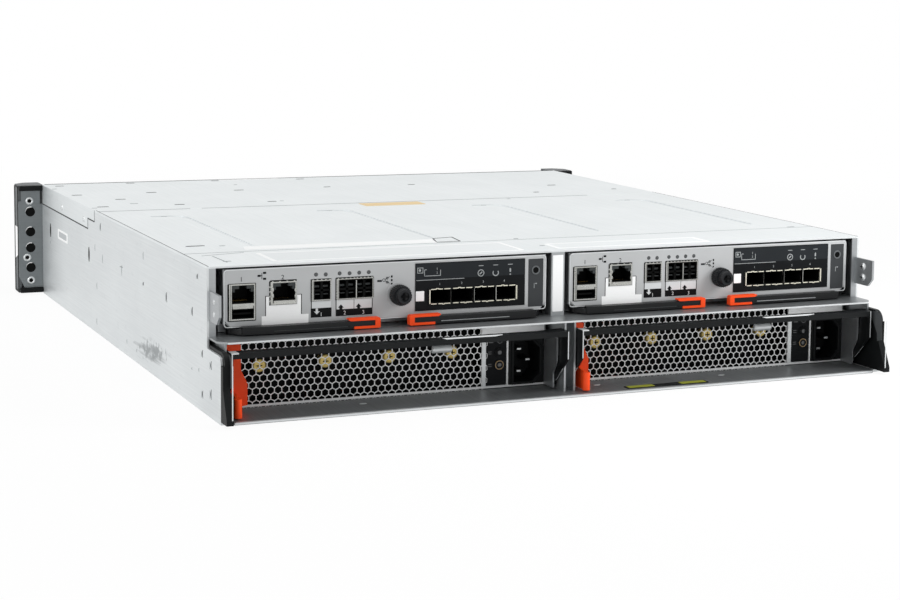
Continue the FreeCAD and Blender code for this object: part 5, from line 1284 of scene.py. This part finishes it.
    def panel_marks(self) -> None:
        """Generic signs of the host panel in grey ink, its lighter upper band and its white label."""
        panel, top = self.face.lift(0.4), self.face.lift(0.48)
        self.piece("panel_band", PANEL_BAND, [panel.plate(rectangle(118.6, 190.2, 73.0, 82.7), 0.08, 0.02)])
        marks = [top.rim(rectangle(119.4, 123.2, 76.9, 80.4), rectangle(119.8, 122.8, 77.3, 80.0), 0.05),
                 top.disc(121.0, 78.7, 0.8, 10, 0.05)]
        marks += [top.line(*run, 0.4) for run in (
            (124.0, 78.9, 124.0, 74.9), (123.8, 75.1, 134.6, 75.1), (134.4, 75.1, 134.4, 78.6),
            (124.0, 78.9, 125.4, 78.9))]
        marks += [panel.line(118.8, 72.6, 150.0, 72.6, 0.35), top.written("1", 1.6, 132.2, 79.2),
                  top.written("2", 1.3, 132.2, 76.9), top.ring(161.0, 75.3, 2.2, 1.7, 18, 0.05),
                  top.line(160.2, 74.6, 161.8, 76.0, 0.7)]
        bowl = np.linspace(-2.2, 2.2, 14)
        swing = np.stack([np.sin(bowl), -np.cos(bowl)], axis=1)
        middle = np.array([170.8, 75.0])
        marks += [top.plate(np.concatenate([middle + 2.1 * swing, (middle + 1.5 * swing)[::-1]]), 0.05),
                  top.plate(rectangle(180.1, 181.1, 75.0, 77.4, 0.4), 0.05),
                  top.disc(180.6, 73.6, 0.5, 8, 0.05)]
        marks += [top.bar(u - 1.6, u + 1.6, 79.6, 80.0) for u in (161.0, 170.8, 180.6)]
        marks += [panel.written(text, 1.4, u, 69.8) for text, u in zip("1234", (134.0, 148.4, 162.6, 176.6))]
        self.piece("panel_signs", GREY_INK_AND_HIGHLIGHT, marks)
        self.piece("panel_label", LABEL, [panel.plate(rectangle(118.5, 123.9, 59.9, 66.0, 0.3), 0.1, 0.03)])

    def cage_details(self) -> None:
        """Inner liners of the transceiver cage, the pale edge round its mouths and its spring fingers."""
        face, start, pitch = self.face, 127.4, 14.35
        liner, edge = [], []
        for u in start + np.arange(4) * pitch:
            liner += face.tub(u + 0.35, u + pitch - 0.35, 58.15, 66.45, 44.0, 0.3, -0.4)
            edge += [face.bar(a - 0.32, a + 0.32, 58.0, 66.6, 1.15) for a in (u, u + pitch)]
            edge += [face.bar(u + a, u + b, v, v + 0.55, 1.1)
                     for a, b in ((0.8, 4.4), (5.6, 8.4), (9.4, 13.4)) for v in (66.5, 57.55)]
            edge += [face.bar(u + 4.0, u + 6.0, 66.9, 67.4, 1.15),
                     face.bar(u + 8.2, u + 9.6, 57.2, 57.7, 1.15)]
        self.piece("cage_liners", BLACK_NYLON_AND_SHADE, liner)
        self.piece("cage_edges", CAGE_EDGE, edge)
        self.piece("cage_front", BLACK_ABS, [face.lift(0.8).rim(
            rectangle(126.6, 186.0, 57.1, 67.5), rectangle(127.7, 184.5, 58.2, 66.4), 0.1, 0.02)])

    def knob(self) -> None:
        """Thumbscrew: a knurled foot, a narrower nose with a dark recess, and a flat boss on the face."""
        centre, foot, screw = (107.5, 64.8), self.face.lift(0.4), self.side + "_thumbscrew"
        self.piece("knob", KNOB_ABS, [
            foot.lathe([(2.2, -10.0), (2.2, -0.01), (5.7, 0.0), (6.25, 0.5), (6.3, 2.4), (5.9, 2.7),
                        (6.3, 3.0), (6.3, 6.2), (5.8, 7.0), (5.0, 7.05)], centre, 120, 30, 0.08),
            foot.lathe([(4.9, 6.9), (4.9, 10.2), (4.4, 10.9), (2.9, 11.0), (2.5, 10.0), (1.2, 9.6)], centre,
                       80, 20, 0.05)], "thumbscrew", True, screw)
        # Painted shade: a flat dark cross for the knob's recess.
        self.piece("knob_recess", BLACK_NYLON_AND_SHADE, [foot.lift(10.2).cross(*centre, 2.1, 0.8, 0.5)], body=screw)
        self.piece("knob_boss", FACE_ENAMEL, [self.face.ring(*centre, 7.6, 2.6, 40, 0.3, 0.15)], smooth=True)

    def service_strip(self) -> None:
        """Dark strip in a light frame at the right end, with the ringed service jack and its small mark, and
        a painted highlight on the face's bevel.
        """
        face, mark = self.face, self.face.lift(0.1)
        self.piece("service_strip", DARK_ENAMEL, [
            face.plate(rectangle(193.0, 203.2, 52.4, 82.4, 0.5), 0.1, 0.05)])
        self.piece("service_jack", GREY_ABS, [face.ring(198.0, 75.3, 2.8, 1.9, 28, 0.5, 0.15)], smooth=True)
        self.piece("service_hole", BLACK_NYLON_AND_SHADE, [face.disc(198.0, 75.3, 1.95, 20, 0.15)])
        self.piece("service_mark", GREY_INK_AND_HIGHLIGHT, [mark.bar(196.9, 197.2, 64.0, 67.2),
                                              mark.bar(197.8, 198.9, 66.6, 67.2)])
        # Painted highlight: a pale rim on the face's bevel.
        self.piece("face_bevel_highlight", PALE_ZINC_AND_HIGHLIGHT, [face.rim(rectangle(0.15, 205.15, 50.5, 84.6, 2.0),
                                                 rectangle(0.65, 204.65, 51.0, 84.0, 1.6), 0.04)])

    def lever_lines(self) -> None:
        """A painted highlight line along each lever's edge, which rides with the lever; the right one is pale
        and the left one dark grey.
        """
        for side, start, finish in (("left", 28.0, GREY_NYLON_AND_DIM_HIGHLIGHT), ("right", 132.3, GREY_INK_AND_HIGHLIGHT)):
            # Painted highlight: a thin line where the lever's edge catches the light.
            highlight_line = self.face.lift(7.5).bar(start, start + 45.0, 48.2, 48.65, 0.04)
            self.piece(side + "_lever_highlight_line", finish, [highlight_line], body=self.prefix + side + "_lever")


@dataclass
class PowerSupply(Assembly):
    """Power supply: case, honeycomb face, lamp panel, mains inlet, brass screws, handle and orange latch."""

    side: str = "left"
    x0: float = 0.0
    pitch: float = 4.46
    web: float = 0.54
    phase: float = 0.0
    clip: float = 132.3
    lamp_x: float = 177.3

    @property
    def face(self) -> Face:
        """The rear face, measured from the supply's left edge."""
        return Face(Side.REAR, 4.0, self.x0)

    @property
    def bulkhead(self) -> Face:
        """The wall behind the grille that the standoffs are screwed to."""
        return Face(Side.REAR, 19.1, self.x0)

    def build(self) -> None:
        """Dresses the CAD nodes and adds the grille, its backing, the screws, lamps and inlet parts."""
        self.dress({"case": CASE_SHEET, "lamp_panel": DARK_PANEL, "inlet": BLACK_ABS, "handle": HANDLE_DARK_REFLECTION,
                    "latch": ORANGE_NYLON})
        self.grille()
        self.backing()
        self.brass_screws()
        self.lamps()
        self.inlet()
        self.handle_edge_highlights()

    def grille(self) -> None:
        """Punched honeycomb with its plain borders, in place of the coarser CAD face, and its rolled clip."""
        face = self.face
        self.piece("grille", GRILLE_SHEET, [
            face.lift(-0.1).honeycomb(2.07 + self.phase, 167.4, 3.3, 10, self.pitch, self.web, 0.5),
            face.windowed([1.0, 4.2, 165.6, 168.3, 182.3, 183.4, 207.7], [2.2, 3.4, 36.2, 41.2, 42.4],
                          ["######", "#.#.#.", "#.####", "######"], 0.1, 1.1)], "face")
        turn = np.linspace(-0.1, math.pi + 0.1, 12)
        rings = [face.place(np.stack([self.clip + u + 0 * turn, 28.7 + 2.3 * s * np.cos(turn)], axis=1),
                            2.1 * s * np.sin(turn))
                 for u, s in ((0.0, 0.8), (0.5, 1.0), (12.5, 1.0), (13.0, 0.8))]
        self.piece("grille_clip", PALE_ZINC_AND_HIGHLIGHT, [loft(np.array(rings))], smooth=True)

    def backing(self) -> None:
        """Black tray behind the grille, on the bulkhead: a plate, four walls and three ribs. It stands for
        the dark fan and, as painted shade, for the shadowed inside of the supply.
        """
        wall = self.bulkhead
        # Painted shade: black behind the honeycomb where the supply's inside lies in shadow.
        self.piece("interior_shade_backing", BLACK_NYLON_AND_SHADE, [
            wall.rim(rectangle(1.1, 167.1, 3.1, 42.3), rectangle(1.6, 166.6, 3.6, 41.8), 13.7),
            wall.lift(-0.05).plate(rectangle(1.5, 166.7, 3.5, 41.9), 0.5),
            *(wall.lift(0.4).plate(rectangle(u - 0.7, u + 0.7, 6.0, 39.0), 3.0, 0.2)
              for u in (50.0, 90.0, 130.0))])

    def brass_screws(self) -> None:
        """Round brass standoffs with pan heads and cross recesses, in place of the plain CAD ones."""
        centres = [(26.0 + i * 40.8, 25.0) for i in range(4)]
        profile = [(2.8, 0.0), (2.8, 6.6), (4.1, 6.7), (4.1, 8.2), (3.5, 8.9), (1.4, 9.0)]
        self.piece("standoffs", BRASS, [self.bulkhead.lathe(profile, centre) for centre in centres],
                   "screws", True)
        # Painted shade: a flat dark cross for each standoff's recess.
        self.piece("standoff_recesses", BLACK_NYLON_AND_SHADE, [
            self.bulkhead.lift(9.0).cross(*centre, 1.7, 0.7, 0.05) for centre in centres])

    def lamps(self) -> None:
        """Two lamp lenses in collars, faint marks beside them, and the steel edge round the lamp panel."""
        panel, edge, x = self.face.lift(-0.3), self.face.lift(0.1), self.lamp_x
        levels = {"upper": 24.2, "lower": 16.3}
        self.piece("lamp_collars", BLACK_ABS, [
            panel.ring(x, z, 3.1, 2.25, 28, 0.7, 0.2) for z in levels.values()], smooth=True)
        self.piece("lamp_rings", AMBER_PIPE, [
            panel.lift(0.7).ring(x, levels["lower"], 2.95, 2.3, 28, 0.2, 0.08, 0.05)], smooth=True)
        for word, z in levels.items():
            self.piece(word + "_light_pipe", DARK_PIPE, [
                panel.lathe([(2.2, 0.0), (2.2, 0.6), (1.9, 0.95), (1.1, 1.15)], (x, z))], smooth=True)
        marks = [panel.bar(x - 7.4, x - 5.0, z + dv, z + dv + 0.4) for z in levels.values()
                 for dv in (-0.9, 0.4)]
        marks += [panel.ring(x + 0.5, 31.4, 1.8, 1.4, 18, 0.05),
                  panel.line(x - 7.0, 30.6, x - 4.0, 30.6, 0.5)]
        self.piece("lamp_marks", DARK_PIPE, marks)
        self.piece("panel_steel_edge", PALE_ZINC_AND_HIGHLIGHT, [edge.bar(165.7, 168.2, 2.8, 36.4),
                                              edge.bar(168.2, 182.9, 2.6, 3.4)])

    def inlet(self) -> None:
        """Bevelled rim of the mains inlet, and the pale blades in its well."""
        face, left, right, middle, half, cut = self.face.lift(0.4), 187.0, 204.4, 17.6, 12.7, 5.0
        low, high = middle - half, middle + half
        well = polygon((left, low), (right - cut, low), (right, low + cut), (right, high - cut),
                       (right - cut, high), (left, high))
        self.piece("inlet_rim", BLACK_ABS, [face.rim(inset(well, -1.6), inset(well, -0.05), 1.0, 0.3, 0.2)])
        self.piece("inlet_blades", SCREW_STEEL, [
            face.lift(-16.9).plate(rectangle(u - 1.6, u + 1.6, v - 0.8, v + 0.8, 0.3, 2), 11.9, 0.35)
            for u, v in ((192.7, middle + 7.0), (192.7, middle - 7.0), (198.7, middle))])

    def handle_edge_highlights(self) -> None:
        """Painted highlights on the bail handle's cut edges: its arms' rear edges, its top flange's end, its
        finger lip.
        """
        front, top = Face(Side.REAR, -27.6, self.x0), Face(Side.TOP, 40.6, self.x0)
        path = [(-10.4, 6.9), (-19.0, 15.0), (-27.62, 23.2), (-27.62, 31.0), (-27.62, 40.4)]
        # Painted highlights: pale strips where the handle's edges catch the light.
        bright = [ribbon(path, self.x0 + u, self.x0 + u + 0.55, 0.06) for u in (-1.4, 209.5)]
        lip = polygon((126.4, 41.5), (129.6, 40.6), (161.0, 40.6), (165.6, 41.1), (165.6, 41.5))
        bright += [front.bar(-1.6, 2.8, 40.0, 40.6, 0.06), front.plate(lip, 0.06),
                   top.bar(-1.6, 2.8, -27.5, -20.0, 0.06)]
        self.piece("handle_edge_highlights", PALE_ZINC_AND_HIGHLIGHT, bright, body=self.side + "_handle")


@dataclass
class DriveCarrier(Assembly):
    """Drive carrier at the front, whose bezel lies between u0 and u1 and between v0 and v1."""

    u0: float = 0.0
    u1: float = 0.0
    v0: float = 0.0
    v1: float = 0.0
    nose: Face = Face(Side.FRONT, 505.0)

    def build(self) -> None:
        """Dresses the carrier and adds the bezel's vents, the latch grip, the button and two lamps."""
        nose, u0, u1, v0, v1 = self.nose, self.u0, self.u1, self.v0, self.v1
        grip = nose.lift(3.0)
        middle = (v0 + v1) / 2
        self.dress({"": CARRIER})
        self.piece("_trim", BLACK_ABS, [
            nose.rim(rectangle(u0 + 0.4, u1 - 0.4, v0 + 0.4, v1 - 0.4, 1.2),
                     rectangle(u0 + 1.6, u1 - 1.6, v0 + 1.6, v1 - 1.6, 0.8), 0.8, 0.3),
            *(nose.lift(-0.6).bar(u, u + 1.0, v - 1.6, v + 1.6, 0.6)
              for v in (middle - 10.1, middle + 10.1) for u in np.arange(u0 + 16.0, u1 - 14.0, 5.4))])
        self.piece("_latch_grip", GREY_ABS, [
            grip.plate(rectangle(u0 + 8.0, u0 + 60.0, middle - 3.0, middle + 3.0, 1.2), 0.8, 0.3),
            *(grip.lift(0.8).plate(rectangle(u, u + 1.0, middle - 2.2, middle + 2.2, 0.4, 2), 0.4, 0.15)
              for u in np.arange(u0 + 12.0, u0 + 34.0, 2.4))])
        self.piece("_button", ORANGE_NYLON, [
            nose.plate(rectangle(u0 + 82.0, u0 + 91.0, middle - 3.4, middle + 3.4, 1.0), 1.6, 0.4, 0.2)])
        self.piece("_light_pipes", CLEAR_PIPE, [
            nose.lathe([(1.1, 0.0), (1.1, 0.5), (0.6, 0.8)], (u1 - 6.0, v), 16)
            for v in (middle - 2.0, middle + 2.0)], smooth=True)


@dataclass
class DriveBay:
    """Twelve drive carriers in columns and rows at the front."""

    columns: int = 4
    rows: int = 3
    inner: float = 221.8
    low: float = 1.5
    high: float = 85.8

    def build(self) -> None:
        """Builds each carrier in its place."""
        wide, tall = 2 * self.inner / self.columns, (self.high - self.low) / self.rows
        for c in range(self.columns):
            for r in range(self.rows):
                name = "drive_carrier_%d_%d" % (c + 1, r + 1)
                u, v = wide * c - self.inner, self.low + tall * r
                foot = v + (1.5 if r else 0.3)
                DriveCarrier(name + "_body", name, u + 1.7, u + wide - 1.7, foot, v + tall - 0.9).build()


@dataclass(frozen=True)
class Lamp:
    """An area lamp that looks at the object, never seen itself."""

    name: str
    where: tuple[float, float, float]
    size: float
    power: float
    mirrored: bool = True

    def build(self) -> None:
        """Makes the lamp."""
        lamp = bpy.data.lights.new(self.name, "AREA")
        lamp.size = self.size
        lamp.energy = self.power
        holder = bpy.data.objects.new(self.name, lamp)
        bpy.context.scene.collection.objects.link(holder)
        holder.visible_camera = False
        holder.visible_glossy = self.mirrored
        toward = Vector((0.0, 0.0, 0.05)) - Vector(self.where)
        turn = toward.to_track_quat("-Z", "Y").to_matrix().to_4x4()
        holder.matrix_world = Matrix.Translation(self.where) @ turn


@dataclass
class Studio:
    """Pale floor, soft lights and the camera. Its sizes are in metres."""

    level: float = 0.5
    lens: float = 80.4666
    shift: tuple[float, float] = (-0.16667, -0.11111)
    stand: tuple[float, float, float] = (-0.52746576, -1.36451681, 0.25300917)
    yaw: float = 0.45802
    pitch: float = 0.10726
    roll: float = 0.01763
    floor_reach: float = 12.0
    lamps: tuple[Lamp, ...] = (
        Lamp("overhead", (-0.3, 0.2, 2.6), 3.0, 18.0), Lamp("left", (-2.6, -0.4, 0.9), 2.2, 25.0),
        Lamp("rear_right", (0.5, -0.5, 0.34), 0.35, 2.9, False))

    def build(self) -> None:
        """Makes the floor, the world, the lights and the camera."""
        self.floor()
        self.world()
        for lamp in self.lamps:
            lamp.build()
        self.camera()

    def seen_white(self, tree: Tree, share: float | Socket) -> Socket:
        """One where the ray comes from the camera, or is a mirror or see-through ray, times a share.

        Args:
            tree: The node tree.
            share: The share.

        Returns:
            The value.
        """
        rays = node(tree, "ShaderNodeLightPath")
        seen = rays.outputs["Is Camera Ray"]
        for kind in ("Is Glossy Ray", "Is Transmission Ray"):
            either = node(tree, "ShaderNodeMath", {"operation": "MAXIMUM"}, {0: seen, 1: rays.outputs[kind]})
            seen = either.outputs[0]
        return node(tree, "ShaderNodeMath", {"operation": "MULTIPLY"}, {0: seen, 1: share}).outputs[0]

    def floor(self) -> None:
        """A plain floor: nearly white near the object, where its shadow stays, and white far off."""
        mesh = bpy.data.meshes.new("studio_floor")
        far = self.floor_reach
        mesh.from_pydata([(*corner, 0.0) for corner in rectangle(-far, far, -far, far)], [], [(0, 1, 2, 3)])
        floor = bpy.data.objects.new("studio_floor", mesh)
        bpy.context.scene.collection.objects.link(floor)
        made = bpy.data.materials.new("white_paper_floor")
        made.use_nodes = True
        tree = made.node_tree
        tree.nodes.clear()
        diffuse = node(tree, "ShaderNodeBsdfDiffuse", inputs={"Color": WHITE})
        glow = node(tree, "ShaderNodeEmission", inputs={"Color": WHITE, "Strength": 1.0})
        where = node(tree, "ShaderNodeTexCoord")
        reach = node(tree, "ShaderNodeVectorMath", {"operation": "LENGTH"}, {0: where.outputs["Object"]})
        share = node(tree, "ShaderNodeMapRange", inputs={
            "Value": reach.outputs["Value"], "From Min": 0.45, "From Max": 1.3, "To Min": 0.92,
            "To Max": 1.0})
        both = node(tree, "ShaderNodeMixShader", inputs={
            0: self.seen_white(tree, share.outputs["Result"]), 1: diffuse.outputs[0], 2: glow.outputs[0]})
        node(tree, "ShaderNodeOutputMaterial", inputs={"Surface": both.outputs[0]})
        mesh.materials.append(made)

    def world(self) -> None:
        """White to the camera and in reflections, and a plain grey-white light on the object."""
        world = bpy.data.worlds.new("studio")
        bpy.context.scene.world = world
        world.use_nodes = True
        tree = world.node_tree
        tree.nodes.clear()
        soft = node(tree, "ShaderNodeBackground", inputs={"Color": WHITE, "Strength": self.level})
        white = node(tree, "ShaderNodeBackground", inputs={"Color": WHITE, "Strength": 1.0})
        mixed = node(tree, "ShaderNodeMixShader", inputs={
            0: self.seen_white(tree, 1.0), 1: soft.outputs[0], 2: white.outputs[0]})
        node(tree, "ShaderNodeOutputWorld", inputs={"Surface": mixed.outputs[0]})

    def camera(self) -> None:
        """The camera that was fitted to the photograph.

        Its forward line is (sin yaw cos pitch, cos yaw cos pitch, -sin pitch), its right line is
        (cos yaw, -sin yaw, 0), and both are turned by the roll.
        """
        tilt = math.cos(self.pitch)
        forward = Vector((math.sin(self.yaw) * tilt, math.cos(self.yaw) * tilt, -math.sin(self.pitch)))
        right = Vector((math.cos(self.yaw), -math.sin(self.yaw), 0.0))
        up = right.cross(forward)
        across = right * math.cos(self.roll) + up * math.sin(self.roll)
        upright = up * math.cos(self.roll) - right * math.sin(self.roll)
        lens = bpy.data.cameras.new("camera")
        lens.lens = self.lens
        lens.sensor_width = 36.0
        lens.shift_x, lens.shift_y = self.shift
        lens.clip_end = 60.0
        holder = bpy.data.objects.new("camera", lens)
        turn = Matrix((across, upright, -forward)).transposed().to_4x4()
        holder.matrix_world = Matrix.Translation(self.stand) @ turn
        bpy.context.scene.collection.objects.link(holder)
        bpy.context.scene.camera = holder


def main() -> None:
    """Builds every sub-assembly and the studio."""
    logging.basicConfig(level=logging.INFO, format="%(message)s")
    bpy.context.scene.view_settings.view_transform = "Standard"
    Studio().build()
    Chassis("chassis").build()
    for side, x0 in (("left", -213.3), ("right", 8.0)):
        Canister(side + "_canister", side + "_canister_", side, x0).build()
    PowerSupply("left_psu", "left_psu_", "left", -214.8).build()
    PowerSupply("right_psu", "right_psu_", "right", 6.1, phase=1.9, clip=138.8).build()
    DriveBay().build()


if __name__ == "__main__":
    main()
